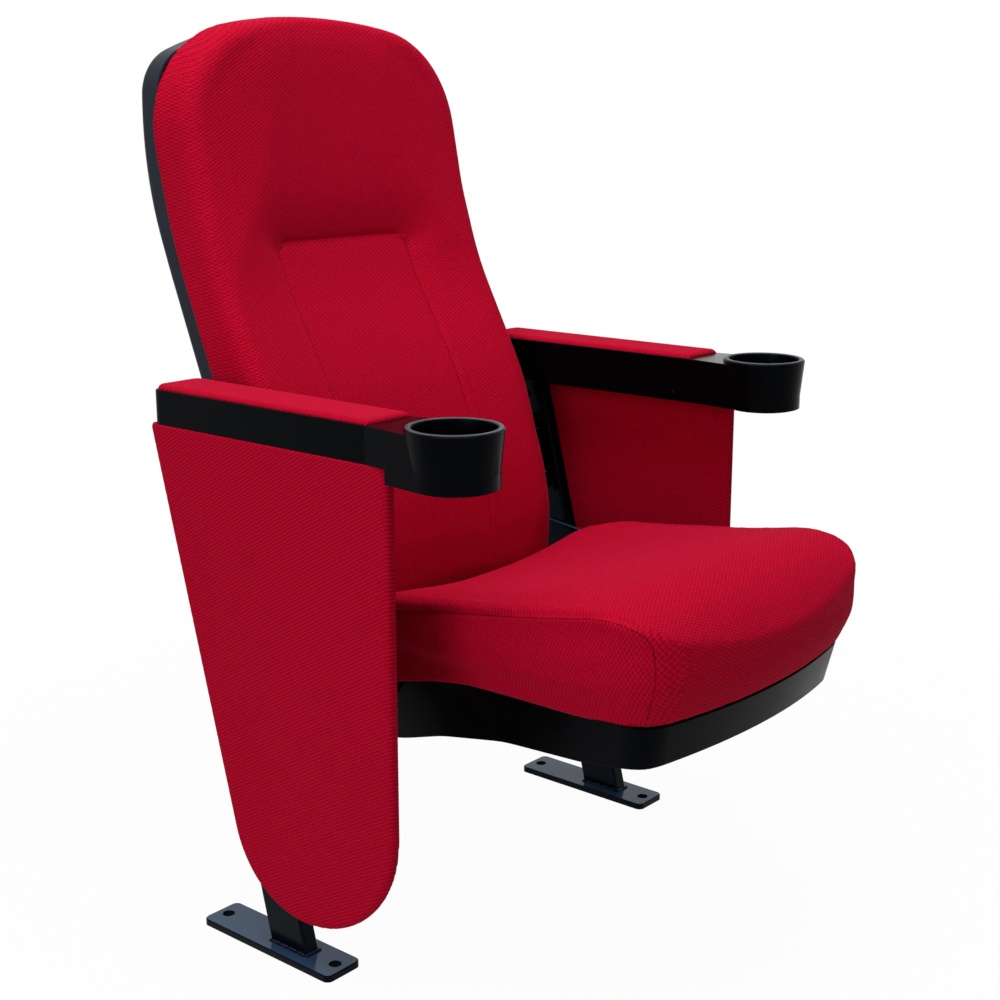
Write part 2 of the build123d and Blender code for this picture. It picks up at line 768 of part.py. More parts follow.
with BuildPart() as crown_room:
    # room above the cushion, whose top is crowned across and bent from rear to front
    with BuildLine(Plane.YZ) as crown_line:
        crown_zs = [edge + cushion_crown for edge in seat_top_edges]
        FilletPolyline(*zip(seat_top_ys, crown_zs), radius=seat_bend_rs)
    start = Plane(origin=crown_line.line @ 0, x_dir=(1, 0, 0), z_dir=crown_line.line % 0)
    with BuildSketch(start) as across:
        with BuildLine():
            side_x = pan_half + cushion_bulge
            crown = ThreePointArc((-side_x, -cushion_crown), (0, 0), (side_x, -cushion_crown))
            Polyline(crown @ 1, (side_x, crown_reach), (-side_x, crown_reach), crown @ 0)
        make_face()
    sweep(across.sketch, path=crown_line.line)

with BuildPart() as seat_cushion:
    extrude(
        pan_plan(cushion_bulge, bulge_height),
        amount=pan_top - bulge_height,
        taper=degrees(atan(cushion_bulge / (bulge_height - pan_top))),
    )
    extrude(
        pan_plan(cushion_bulge, bulge_height), amount=cushion_block, taper=cushion_top_draft
    )
    belt = seat_cushion.edges().filter_by_position(Axis.Z, bulge_height - 0.1, bulge_height + 0.1)
    fillet(belt, radius=belt_r)
    with Locations((0, seat_top_rear, pan_top)):
        Box(3 * pan_half, 3 * pan_half, 3 * pan_half, align=ahead_of, mode=Mode.INTERSECT)
    add(crown_room.part, mode=Mode.SUBTRACT)
    fillet(rim(seat_cushion.part, Vector(0, 0, 1)), radius=cushion_edge)
    pocket = pan_plan(seam_gap - seat_board_inset, pan_top)
    extrude(pocket, amount=seat_board_thick - seat_board_drop + seam_gap, mode=Mode.SUBTRACT)
save(seat_cushion, "seat_cushion")


# ------------------------------------------------------------------ back

def shifted(ys, step):
    """A side curve moved back by step."""
    return [y + step for y in ys]


def back_side(ys):
    """Side line through the back's heights, with rounded bends."""
    return FilletPolyline(*zip(ys, back_heights), radius=back_bend_r)


def back_slab(fronts, rears, half=back_half + cut_past):
    """Solid across the back, between two side lines."""
    with BuildPart() as slab:
        with BuildSketch(Plane.YZ) as side:
            with BuildLine():
                ahead = back_side(fronts)
                behind = back_side(rears)
                Line(ahead @ 0, behind @ 0)
                Line(ahead @ 1, behind @ 1)
            make_face()
        extrude(amount=half, both=True)
    return slab.part


def hollow_room(step):
    """Room ahead of the cushion's hollow middle, moved back by step."""
    with BuildPart() as room:
        with BuildLine(Plane.YZ) as deepest:
            back_side(shifted(hollow_ys, step))
        start = Plane(origin=deepest.line @ 0, x_dir=(1, 0, 0), z_dir=deepest.line % 0)
        with BuildSketch(start) as across:
            with BuildLine():
                arc = ThreePointArc((-back_half, -hollow_sag), (0, 0), (back_half, -hollow_sag))
                ahead = -hollow_sag - hollow_reach
                Polyline(arc @ 1, (back_half, ahead), (-back_half, ahead), arc @ 0)
            make_face()
        sweep(across.sketch, path=deepest.line)
    return room.part


def back_outline(inset, drop=back_drop, corner_r=back_corner_r):
    """Front view of the back, inset all round, drawn through its whole depth."""
    shoulder = back_top - drop
    with BuildPart() as outline:
        with BuildSketch(Plane.XZ) as view:
            with BuildLine():
                crown = ThreePointArc((-back_half, shoulder), (0, back_top), (back_half, shoulder))
                Polyline(crown @ 1, (back_half, back_bottom), (-back_half, back_bottom), crown @ 0)
            make_face()
            fillet(view.vertices().group_by(Axis.Y)[0], radius=back_foot_r)
            fillet(view.vertices().group_by(Axis.Y)[-1], radius=corner_r)
            if inset:
                offset(amount=-inset)
        extrude(amount=back_reach, both=True)
    return outline.part


def seam_y(height):
    """The back's seam at a height, between the two nearest stations."""
    stations = list(zip(back_heights, seam_ys))
    for (low, low_y), (high, high_y) in zip(stations, stations[1:]):
        if low <= height <= high:
            return low_y + (high_y - low_y) * (height - low) / (high - low)


with BuildPart() as grooves:
    # two sewn lines and the crease under the headrest, all cut to one depth
    for x in (-crease_half, crease_half):
        with Locations((x, seam_y(crease_height), (back_heights[0] + crease_height) / 2)):
            Box(seam_wide, back_reach, crease_height - back_heights[0])
    with Locations((0, seam_y(crease_height), crease_height)):
        Box(2 * crease_half + seam_wide, back_reach, crease_wide)
    add(hollow_room(seam_deep), mode=Mode.INTERSECT)

with BuildPart() as board_pocket:
    add(back_slab(shifted(seam_ys, -back_board - seam_gap), shifted(seam_ys, 1)))
    add(back_outline(back_board_inset - seam_gap), mode=Mode.INTERSECT)

with BuildPart() as back_cushion:
    add(back_slab(cushion_ys, seam_ys))
    add(back_outline(0), mode=Mode.INTERSECT)
    fillet(rim(back_cushion.part, Vector(0, -1, 0)), radius=back_edge)
    add(hollow_room(0), mode=Mode.SUBTRACT)
    add(grooves.part, mode=Mode.SUBTRACT)
    add(board_pocket.part, mode=Mode.SUBTRACT)
    with BuildSketch(at_axle(0)) as seat_sweep:
        Circle(seat_sweep_r)
    extrude(amount=back_half + cut_past, both=True, mode=Mode.SUBTRACT)
save(back_cushion, "back_cushion")

shell_screw_spots = [(x, z) for x in shell_screw_xs for z in shell_screw_zs]
with BuildPart() as back_shell_screws:
    for x, z in shell_screw_spots:
        seat = Plane(origin=(x, seam_y(z) + shell_screw_stand, z), z_dir=(0, -1, 0))
        screw(seat, screw_r, shell_screw_long, screw_head_r, screw_head)
save(back_shell_screws, "back_shell_screws")

with BuildPart() as back_board_panel:
    add(back_slab(shifted(seam_ys, -back_board), seam_ys))
    add(back_outline(back_board_inset), mode=Mode.INTERSECT)
    for x, z in shell_screw_spots:
        rear = Plane(origin=(x, seam_y(z) + shell_screw_stand, z), z_dir=(0, -1, 0))
        with BuildSketch(rear) as pilot:
            Circle(screw_r + boss_hole_gap)
        deep = shell_screw_stand + 0.8 * back_board
        extrude(pilot.sketch, amount=deep, mode=Mode.SUBTRACT)
save(back_board_panel, "back_board")

with BuildPart() as shell_block:
    add(back_slab(shifted(seam_ys, seam_gap), shell_ys))
    add(back_outline(shell_inset, shell_drop, shell_corner_r), mode=Mode.INTERSECT)
    fillet(rim(shell_block.part, Vector(0, 1, 0)), radius=shell_edge)

with BuildPart() as shell_hollow:
    add(back_slab(shifted(seam_ys, -cut_past), shifted(shell_ys, -shell_wall)))
    inside = back_outline(shell_inset + shell_wall, shell_drop, shell_corner_r)
    add(inside, mode=Mode.INTERSECT)

with BuildPart() as shell_bosses:
    for x, z in shell_screw_spots:
        with BuildSketch(Plane(origin=(x, 0, z), z_dir=(0, 1, 0))) as boss:
            Circle(boss_r)
        extrude(boss.sketch, amount=back_reach)
    add(shell_block.part, mode=Mode.INTERSECT)

with BuildPart() as bracket_notches:
    ahead = shifted(seam_ys, -notch_gap)
    behind = shifted(seam_ys, bracket_thick + notch_gap)
    add(back_slab(ahead, behind, half=post_inner))
    with Locations((0, seam_y(bracket_low), (bracket_low + bracket_high) / 2)):
        Box(
            2 * post_inner,
            back_reach,
            bracket_high - bracket_low + 2 * notch_gap,
            mode=Mode.INTERSECT,
        )

with BuildPart() as back_shell:
    add(shell_block.part)
    add(shell_hollow.part, mode=Mode.SUBTRACT)
    add(shell_bosses.part)
    for x, z in shell_screw_spots:
        seat = Plane(origin=(x, seam_y(z) + shell_screw_stand, z), z_dir=(0, -1, 0))
        with BuildSketch(seat) as screw_hole:
            Circle(screw_r + screw_hole_gap)
        extrude(screw_hole.sketch, amount=screw_hole_reach, mode=Mode.SUBTRACT)
        with BuildSketch(seat) as head_pocket:
            Circle(screw_head_r + screw_hole_gap)
        extrude(head_pocket.sketch, amount=-screw_hole_reach, mode=Mode.SUBTRACT)
    add(bracket_notches.part, mode=Mode.SUBTRACT)
save(back_shell, "back_shell")

with BuildPart() as back_bracket:
    ahead = shifted(seam_ys, seam_gap)
    add(back_slab(ahead, shifted(ahead, bracket_thick), half=post_inner))
    with Locations((bracket_reach, seam_y(bracket_low), (bracket_low + bracket_high) / 2)):
        Box(
            post_inner - bracket_reach,
            back_reach,
            bracket_high - bracket_low,
            align=(Align.MIN, Align.CENTER, Align.CENTER),
            mode=Mode.INTERSECT,
        )
    lip = leaning_strip(
        post_inner - bracket_thick, bracket_lip / 2, bracket_low, bracket_high
    )
    extrude(lip, amount=bracket_thick)
    for height in bracket_bolt_heights:
        with BuildSketch(Plane.YZ.offset(post_inner - bracket_thick)) as bolt_hole:
            with Locations((post_y(height) - bracket_bolt_ahead, height)):
                Circle(bracket_bolt_r + screw_hole_gap)
        extrude(amount=bracket_thick, mode=Mode.SUBTRACT)
save_pair(back_bracket, "back_bracket")

with BuildPart() as back_bracket_bolts:
    for height in bracket_bolt_heights:
        seat = Plane(
            origin=(post_inner - bracket_thick, post_y(height) - bracket_bolt_ahead, height),
            x_dir=(0, 1, 0),
            z_dir=(1, 0, 0),
        )
        length = bracket_thick + 2 * post_wall
        screw(seat, bracket_bolt_r, length, bracket_bolt_head_r, bracket_bolt_head)
save_pair(back_bracket_bolts, "back_bracket_bolts")
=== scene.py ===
"""Looks of one tip-up auditorium seat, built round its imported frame.  Metres, CAD frame."""
import json
from math import cos, pi, sin

import bmesh
import bpy
import numpy as np
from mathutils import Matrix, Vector
from mathutils.bvhtree import BVHTree

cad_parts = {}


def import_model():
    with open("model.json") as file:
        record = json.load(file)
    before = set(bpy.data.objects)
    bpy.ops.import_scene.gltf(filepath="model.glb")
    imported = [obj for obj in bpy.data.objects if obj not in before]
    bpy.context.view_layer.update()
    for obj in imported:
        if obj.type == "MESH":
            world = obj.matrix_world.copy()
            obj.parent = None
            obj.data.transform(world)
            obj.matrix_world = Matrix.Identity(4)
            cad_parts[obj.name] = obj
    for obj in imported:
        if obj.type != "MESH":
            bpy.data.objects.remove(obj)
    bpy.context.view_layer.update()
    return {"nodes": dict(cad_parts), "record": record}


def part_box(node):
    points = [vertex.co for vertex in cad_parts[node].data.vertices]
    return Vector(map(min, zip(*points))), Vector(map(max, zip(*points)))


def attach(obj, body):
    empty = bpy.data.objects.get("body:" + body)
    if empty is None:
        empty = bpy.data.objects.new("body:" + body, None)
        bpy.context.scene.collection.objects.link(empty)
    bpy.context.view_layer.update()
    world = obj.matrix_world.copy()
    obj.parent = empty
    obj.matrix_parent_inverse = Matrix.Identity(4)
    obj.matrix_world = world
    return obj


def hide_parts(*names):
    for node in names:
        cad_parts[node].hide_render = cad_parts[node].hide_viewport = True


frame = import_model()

scene = bpy.context.scene

# ------------------------------------------------------------------ sizes

# Weave: staggered nubs, whose rows cross in two slants
NUB_ACROSS = 0.0077
NUB_ALONG = 0.0043

# Remeshing: each pad's voxels
BACK_VOXELS = (0.005, 0.004)
SEAT_VOXEL = 0.005
SIDE_VOXEL = 0.003
ARM_VOXEL = 0.002

# Cloth: its frames, and for each big cushion the pressure and how far a point may move
CLOTH_FRAMES = 20
BACK_PRESSURE, BACK_CAP = 3, 0.006
SEAT_PRESSURE, SEAT_CAP = 4, 0.008

# How much of the simulated swelling is kept, and how often it is evened out
SWELL_SHARE = 0.5
SWELL_SPREAD = 30

# Sewing thread: its radius and the spacing of its points
THREAD_R = 0.0004
THREAD_STEP = 0.0025

# How far the big cushions and the side pads stand proud of their CAD form
PROUD = 0.0008
SIDE_PROUD = 0.0006

# Back cushion, seen from the side: front, hollow and rim seam at these heights
BACK_HEIGHTS = (0.340, 0.450, 0.600, 0.760, 0.850, 0.930, 1.067)
BACK_FRONTS = (0.0145, 0.0155, 0.0620, 0.1445, 0.1715, 0.1870, 0.2030)
BACK_HOLLOWS = (0.012, 0.022, 0.024, 0.021, 0.010, 0.006, 0.004)
BACK_SEAMS = (0.055, 0.087, 0.140, 0.2045, 0.2345, 0.2395, 0.2415)

# Back cushion, seen from the front: its outline, its rolled top and how it hollows sideways
BACK_CORNER = 0.132
BACK_CROWN_RADIUS = 0.688
TOP_ROLL = 0.075
TOP_ROLL_DEEP = 0.004
HOLLOW_RADIUS = 0.991

# Back cushion's crease: its dent, its sharp fold, and how soon each fades
CREASE_Z = 0.792
CREASE_DEEP = 0.0135
CREASE_FOLD = 0.0035
FOLD_ABOVE = 0.004
FOLD_BELOW = 0.007
HEAD_FADE = 0.040
SIDE_FADE = 0.024
PANEL_FADE = 0.058

# Back cushion's sewn panel, its seam and the raised strip beside that
PANEL_HALF = 0.112
PANEL_CORNER = 0.020
PANEL_DEEP = 0.0020
PANEL_FOOT = 0.42
SEAM_DEEP = 0.0026
SEAM_HALF_WIDE = 0.0030
STRIP_HIGH = 0.0012
STRIP_AWAY = 0.008
STRIP_HALF_WIDE = 0.005

# Back cushion's rim, out and back to the shell, and its foot behind the seat
RIM_OUT = 0.0012
CORNER_OUT = 0.0085
RIM_BACK = 0.0045
FOOT_BACK = 0.004
FOOT_DOWN = 0.016

# Seat cushion: the D-shaped seam between the top and each side (y, z)
BOXING_SEAM = (
    (0.020, 0.374), (-0.060, 0.398), (-0.178, 0.424), (-0.228, 0.431), (-0.302, 0.445),
    (-0.371, 0.458), (-0.403, 0.464), (-0.425, 0.463), (-0.446, 0.456), (-0.462, 0.444),
    (-0.471, 0.428), (-0.474, 0.411), (-0.473, 0.390), (-0.469, 0.371), (-0.460, 0.335),
)

# Seat cushion's side line (y, z), along which the top's weave is laid
TOP_PROFILE = (
    (0.03, 0.36), (-0.03, 0.405), (-0.115, 0.434), (-0.262, 0.455), (-0.392, 0.473),
    (-0.44, 0.465), (-0.475, 0.435), (-0.491, 0.40), (-0.467, 0.346),
)

# Seat cushion: its seam's pinch, the swell above it and the sides' sink below it
SEAT_HALF = 0.220
PINCH_DEEP = 0.0036
PINCH_HALF_WIDE = 0.0036
SWELL_HIGH = 0.0026
SWELL_AWAY = 0.013
SWELL_HALF_WIDE = 0.008
SIDE_SINK = 0.0020
SHOULDER_FILL = 0.003

# Seat cushion's dish between its side rolls, and how far the whole top drops, from back to front
DISH_REACH = (0.0, 0.05, 0.10, 0.15, 0.20, 0.26, 0.32)
DISH_DEEP = (0.027, 0.026, 0.021, 0.015, 0.009, 0.004, 0.0)
DISH_HALF = 0.2
REAR_DROP = 0.012
TOP_PLACES = (0.05, 0.15, 0.30, 0.37, 0.41, 0.44, 0.48)
TOP_DROPS = (0.0, 0.003, 0.0035, 0.002, -0.0025, -0.0045, -0.004)

# Seat cushion's cover over the pan's sides
PAN_TOP = 0.346
SKIRT_START = -0.192
SKIRT_SLOPE = 0.25
SKIRT_BEND = 0.03
SKIRT_HANG = 0.004
SKIRT_OUT = 0.0032

# Cup holder's lip, a paler ring that is a painted highlight, from the armrest's side and top
CUP_LIP_IN = 0.0041
CUP_RIM_Z = 0.648
CUP_LIP_R = 0.0027
CUP_LIP_FLAT = 0.35

# Screw head on the armrest's inner side
PLUG_Y, PLUG_Z, PLUG_R = -0.156, 0.597, 0.0032

# Weld bead at a post's foot
WELD_STEP = 0.0015
WELD_R = 0.0026

# The photograph's view
CAMERA_PLACE = (-1.4418, -1.3019, 0.9519)
CAMERA_LOOK = (0.7418, 0.6274, -0.2367)
CAMERA_LENS = 58.126

# Light: the room's, the floor's own brightness near the seat, and the lamps
ROOM_LIGHT = 0.185
FLOOR_GLOW = 0.96
FLOOR_REACH = 12.0
LAMPS = (
    # name, place, aim, size, watts
    ("overhead", (-0.3, -0.35, 3.0), (0, -0.1, 0.5), (2.2, 2.2), 68),
    ("front", (-0.4, -3.4, 1.9), (0, 0, 0.7), (1.6, 1.2), 1),
    ("left", (-3.2, -0.3, 1.5), (0, 0, 0.5), (1.6, 1.6), 29),
)


# ------------------------------------------------------------------ meshes

def coords(mesh):
    """A mesh's points as an array."""
    flat = np.empty(3 * len(mesh.vertices))
    mesh.vertices.foreach_get("co", flat)
    return flat.reshape(-1, 3)


def set_coords(mesh, points):
    """Put an array of points back into a mesh."""
    mesh.vertices.foreach_set("co", points.astype(np.float32).ravel())
    mesh.update()


def normals(mesh):
    """A mesh's point normals as an array."""
    flat = np.empty(3 * len(mesh.vertices), dtype=np.float32)
    mesh.vertex_normals.foreach_get("vector", flat)
    return flat.reshape(-1, 3).astype(float)


def new_piece(name, mesh, body):
    """Link a piece to the scene and make it move with a body."""
    piece = bpy.data.objects.new(name, mesh)
    scene.collection.objects.link(piece)
    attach(piece, body)
    return piece


def copy_of(node, name, body):
    """A free copy of a CAD node's mesh, to be worked into a soft piece."""
    return new_piece(name, frame["nodes"][node].data.copy(), body)


def hull_of(node, name, body):
    """The plain outer form of a CAD node without hollows, to be worked into a soft piece."""
    mesh = bpy.data.meshes.new(name)
    form = bmesh.new()
    form.from_mesh(frame["nodes"][node].data)
    form.transform(frame["nodes"][node].matrix_world)
    found = bmesh.ops.convex_hull(form, input=form.verts)
    inner = [v for v in found["geom_interior"] if isinstance(v, bmesh.types.BMVert)]
    bmesh.ops.delete(form, geom=inner, context="VERTS")
    bmesh.ops.delete(form, geom=[f for f in form.faces if f not in set(found["geom"])],
                     context="FACES_ONLY")
    form.to_mesh(mesh)
    form.free()
    return new_piece(name, mesh, body)


def grow(piece, amount):
    """Move each point out along its normal."""
    points = coords(piece.data) + normals(piece.data) * amount
    set_coords(piece.data, points)


def bake(piece):
    """Apply the piece's modifiers."""
    graph = bpy.context.evaluated_depsgraph_get()
    mesh = bpy.data.meshes.new_from_object(piece.evaluated_get(graph))
    piece.modifiers.clear()
    piece.data = mesh


def remesh(piece, size, smooth):
    """Even quads over the whole piece, then a light smoothing."""
    voxels = piece.modifiers.new("voxels", "REMESH")
    voxels.mode = "VOXEL"
    voxels.voxel_size = size
    if smooth:
        relax(piece, smooth)
    bake(piece)


def relax(piece, times, weights=None):
    """Smooth a piece's shape, more where the weights are higher."""
    softer = piece.modifiers.new("softer", "SMOOTH")
    softer.factor = 0.5
    softer.iterations = times
    if weights is not None:
        softer.vertex_group = group_of(piece, "softer", weights)


def group_of(piece, name, weights):
    """A new group of the piece's points, with a weight for each."""
    group = piece.vertex_groups.new(name=name)
    for index, weight in enumerate(weights):
        if weight > 0:
            group.add([index], float(weight), "REPLACE")
    return group.name


def inflate(piece, held, pressure, cap):
    """Blow the piece up as cloth, holding some points, and cap how far a point moves."""
    rest = coords(piece.data)
    cloth = piece.modifiers.new("cloth", "CLOTH")
    cloth.settings.quality = 3
    cloth.settings.mass = 0.3
    cloth.settings.tension_stiffness = 15
    cloth.settings.compression_stiffness = 10
    cloth.settings.shear_stiffness = 5
    cloth.settings.bending_stiffness = 0.5
    cloth.settings.use_pressure = True
    cloth.settings.uniform_pressure_force = pressure
    cloth.settings.vertex_group_mass = group_of(piece, "held", held(rest))
    cloth.settings.effector_weights.gravity = 0
    cloth.point_cache.frame_start = 1
    cloth.point_cache.frame_end = CLOTH_FRAMES
    for step in range(1, CLOTH_FRAMES + 1):
        scene.frame_set(step)
    bake(piece)
    moved = coords(piece.data) - rest
    length = np.maximum(np.linalg.norm(moved, axis=1), 1e-9)
    moved *= np.minimum(1, cap / length)[:, None]
    set_coords(piece.data, rest + SWELL_SHARE * spread(piece.data, moved, SWELL_SPREAD))
    scene.frame_set(1)


def spread(mesh, values, times):
    """Average a value per point with its neighbours', over and over."""
    ends = np.empty(2 * len(mesh.edges), dtype=np.int32)
    mesh.edges.foreach_get("vertices", ends)
    first, second = ends.reshape(-1, 2).T
    count = np.bincount(ends, minlength=len(values))[:, None]
    for _ in range(times):
        total = np.zeros_like(values)
        np.add.at(total, first, values[second])
        np.add.at(total, second, values[first])
        values = 0.3 * values + 0.7 * total / count
    return values


def shade_smooth(mesh):
    """Smooth shading on every face."""
    for face in mesh.polygons:
        face.use_smooth = True


def subdivide(piece):
    """One subdivision, applied, so that seams can be drawn into it."""
    finer = piece.modifiers.new("finer", "SUBSURF")
    finer.levels = 1
    finer.render_levels = 1
    bake(piece)
    shade_smooth(piece.data)


def surface_of(piece):
    """The piece's surface, for nearest points and rays."""
    return BVHTree.FromObject(piece, bpy.context.evaluated_depsgraph_get())


def ring_round(form, middle, across, out, thick, sides):
    """Points round a middle, in the plane of two directions."""
    turns = (2 * pi * k / sides for k in range(sides))
    return [form.verts.new(middle + thick * (cos(a) * across + sin(a) * out)) for a in turns]


def skin_between(form, first, second):
    """Faces between two rings."""
    sides = len(first)
    for k in range(sides):
        form.faces.new((first[k], first[(k + 1) % sides],
                        second[(k + 1) % sides], second[k]))


def smooth_mesh(form, name, look):
    """Turn a finished form into a smooth mesh with one look."""
    mesh = bpy.data.meshes.new(name)
    bmesh.ops.recalc_face_normals(form, faces=form.faces)
    form.to_mesh(mesh)
    form.free()
    mesh.materials.append(look)
    shade_smooth(mesh)
    return mesh


def sewn_line(name, body, pad, line):
    """A fine cord of thread laid on a pad's surface along a line of points."""
    skin = surface_of(pad)
    laid = []
    for point in evenly(line, THREAD_STEP):
        place, facing, _, _ = skin.find_nearest(Vector(point))
        laid.append((place, facing))
    for _ in range(6):
        laid[1:-1] = [((before[0] + here[0] + after[0]) / 3, here[1])
                      for before, here, after in zip(laid, laid[1:], laid[2:])]
    form = bmesh.new()
    rings = []
    for index, (place, facing) in enumerate(laid):
        ahead = laid[min(index + 1, len(laid) - 1)][0] - laid[max(index - 1, 0)][0]
        ahead.normalize()
        across = ahead.cross(facing).normalized()
        out = across.cross(ahead).normalized()
        thick = THREAD_R * (1 + 0.25 * cos(index * pi / 1.5))
        rings.append(ring_round(form, place, across, out, thick, 6))
    for first, second in zip(rings[:-1], rings[1:]):
        skin_between(form, first, second)
    form.faces.new(rings[0][::-1])
    form.faces.new(rings[-1])
    cord = new_piece(name, smooth_mesh(form, name, THREAD), body)


def evenly(points, step):
    """Points at even steps along a line."""
    points = np.array(points, dtype=float)
    lengths = np.concatenate([[0], np.cumsum(np.linalg.norm(np.diff(points, axis=0), axis=1))])
    places = np.linspace(0, lengths[-1], max(2, int(lengths[-1] / step)))
    return np.stack([np.interp(places, lengths, points[:, k]) for k in range(3)], axis=1)


def face_arrays(mesh):
    """Centres, normals, and for each loop its vertex and its face."""
    count = len(mesh.polygons)
    centres = np.empty(3 * count, dtype=np.float32)
    mesh.polygons.foreach_get("center", centres)
    facing = np.empty(3 * count, dtype=np.float32)
    mesh.polygons.foreach_get("normal", facing)
    sizes = np.empty(count, dtype=np.int32)
    mesh.polygons.foreach_get("loop_total", sizes)
    verts = np.empty(len(mesh.loops), dtype=np.int32)
    mesh.loops.foreach_get("vertex_index", verts)
    return centres.reshape(-1, 3), facing.reshape(-1, 3), verts, np.repeat(np.arange(count), sizes)


def cut_cloth(piece, panel_of, layouts):
    """Lay the weave panel by panel: panel_of picks a face's panel, layouts give its (u, v)."""
    mesh = piece.data
    centres, facing, verts, faces = face_arrays(mesh)
    points = coords(mesh)
    chosen = panel_of(centres, facing)[faces]
    uv = np.zeros((len(verts), 2))
    for number, layout in enumerate(layouts):
        flat = layout(points)
        picked = chosen == number
        uv[picked] = flat[verts[picked]]
    layer = mesh.uv_layers.new(name="weave")
    layer.data.foreach_set("uv", uv.astype(np.float32).ravel())


def one_panel(centres, facing):
    """A single panel of cloth for all faces."""
    return np.zeros(len(centres), dtype=int)


def flat_map(u, v):
    """Places on the flat cloth: ribs lie across u."""
    return np.stack([u, v], axis=1)


def smooth_step(low, high, value):
    """0 below low, 1 above high, with a soft rise between."""
    t = np.clip((value - low) / (high - low), 0, 1)
    return t * t * (3 - 2 * t)


def curve_through(xs, ys):
    """Smooth function through points: cubic pieces with averaged slopes."""
    xs, ys = np.array(xs), np.array(ys)
    slopes = np.gradient(ys, xs)

    def at(x):
        x = np.clip(x, xs[0], xs[-1])
        i = np.clip(np.searchsorted(xs, x) - 1, 0, len(xs) - 2)
        span = xs[i + 1] - xs[i]
        t = (x - xs[i]) / span
        rise = (3 - 2 * t) * t * t
        return (
            ys[i] * (1 - rise) + ys[i + 1] * rise
            + span * t * (1 - t) * (slopes[i] * (1 - t) - slopes[i + 1] * t)
        )
    return at


# ------------------------------------------------------------------ node helpers

class Nodes:
    """A material under construction, with short ways to add nodes to it."""

    def __init__(self, name):
        self.material = bpy.data.materials.new(name)
        self.material.use_nodes = True
        self.tree = self.material.node_tree
        self.shader = self.tree.nodes["Principled BSDF"]

    def add(self, kind, **values):
        """A new node with some of its settings."""
        node = self.tree.nodes.new(kind)
        for key, value in values.items():
            setattr(node, key, value)
        return node

    def put(self, socket, value):
        """Link or set an input."""
        if isinstance(value, bpy.types.NodeSocket):
            self.tree.links.new(value, socket)
        elif value is not None:
            socket.default_value = value

    def math(self, operation, a, b=None):
        """A sum or other operation on one or two values."""
        node = self.add("ShaderNodeMath", operation=operation)
        self.put(node.inputs[0], a)
        self.put(node.inputs[1], b)
        return node.outputs[0]

    def mix(self, factor, a, b):
        """A blend of two colours."""
        node = self.add("ShaderNodeMix", data_type="RGBA")
        self.put(node.inputs["Factor"], factor)
        self.put(node.inputs[6], a)
        self.put(node.inputs[7], b)
        return node.outputs[2]

    def noise(self, scale, detail, vector=None):
        """Noise at so many spots a metre."""
        node = self.add("ShaderNodeTexNoise")
        node.inputs["Scale"].default_value = scale
        node.inputs["Detail"].default_value = detail
        self.put(node.inputs["Vector"], vector or self.object_coords())
        return node.outputs["Fac"]

    def object_coords(self):
        """The place on the piece, in metres."""
        return self.add("ShaderNodeTexCoord").outputs["Object"]

    def ramp(self, value, low, high, out_low=0.0, out_high=1.0):
        """Stretch a range of values to another, clamped."""
        node = self.add("ShaderNodeMapRange", clamp=True)
        self.put(node.inputs["Value"], value)
        node.inputs["From Min"].default_value = low
        node.inputs["From Max"].default_value = high
        node.inputs["To Min"].default_value = out_low
        node.inputs["To Max"].default_value = out_high
        return node.outputs["Result"]

    def bump(self, height, distance, strength, normal=None):
        """Normal of a fine relief; distance is its depth in metres."""
        node = self.add("ShaderNodeBump")
        node.inputs["Distance"].default_value = distance
        node.inputs["Strength"].default_value = strength
        self.put(node.inputs["Height"], height)
        self.put(node.inputs["Normal"], normal)
        return node.outputs["Normal"]

    def set(self, **values):
        """Set the shader's own inputs; underscores stand for spaces."""
        for key, value in values.items():
            self.put(self.shader.inputs[key.replace("_", " ")], value)
        return self.material


# ------------------------------------------------------------------ materials

def weave_height(nodes, rising, falling):
    """Height of the woven nubs, 0 to 1, from the weave map: two slants of unlike strength."""
    uv = nodes.add("ShaderNodeUVMap", uv_map="weave").outputs["UV"]
    parts = nodes.add("ShaderNodeSeparateXYZ")
    nodes.put(parts.inputs[0], uv)
    wander = nodes.math("MULTIPLY", nodes.noise(45, 2), 0.30)
    across = nodes.math("DIVIDE", parts.outputs["X"], NUB_ACROSS)
    along = nodes.math("ADD", nodes.math("DIVIDE", parts.outputs["Y"], NUB_ALONG), wander)
    slants = []
    for operation, strength in (("ADD", rising), ("SUBTRACT", falling)):
        turn = nodes.math("MULTIPLY", nodes.math(operation, along, across), 2 * pi)
        slants.append(nodes.math("MULTIPLY", nodes.math("SINE", turn), strength))
    total = nodes.math("ADD", slants[0], slants[1])
    uneven = nodes.ramp(nodes.noise(330, 1), 0.3, 0.7, 0.45, 1.35)
    uneven = nodes.math("MULTIPLY", total, uneven)
    return nodes.ramp(uneven, -rising - falling, rising + falling)


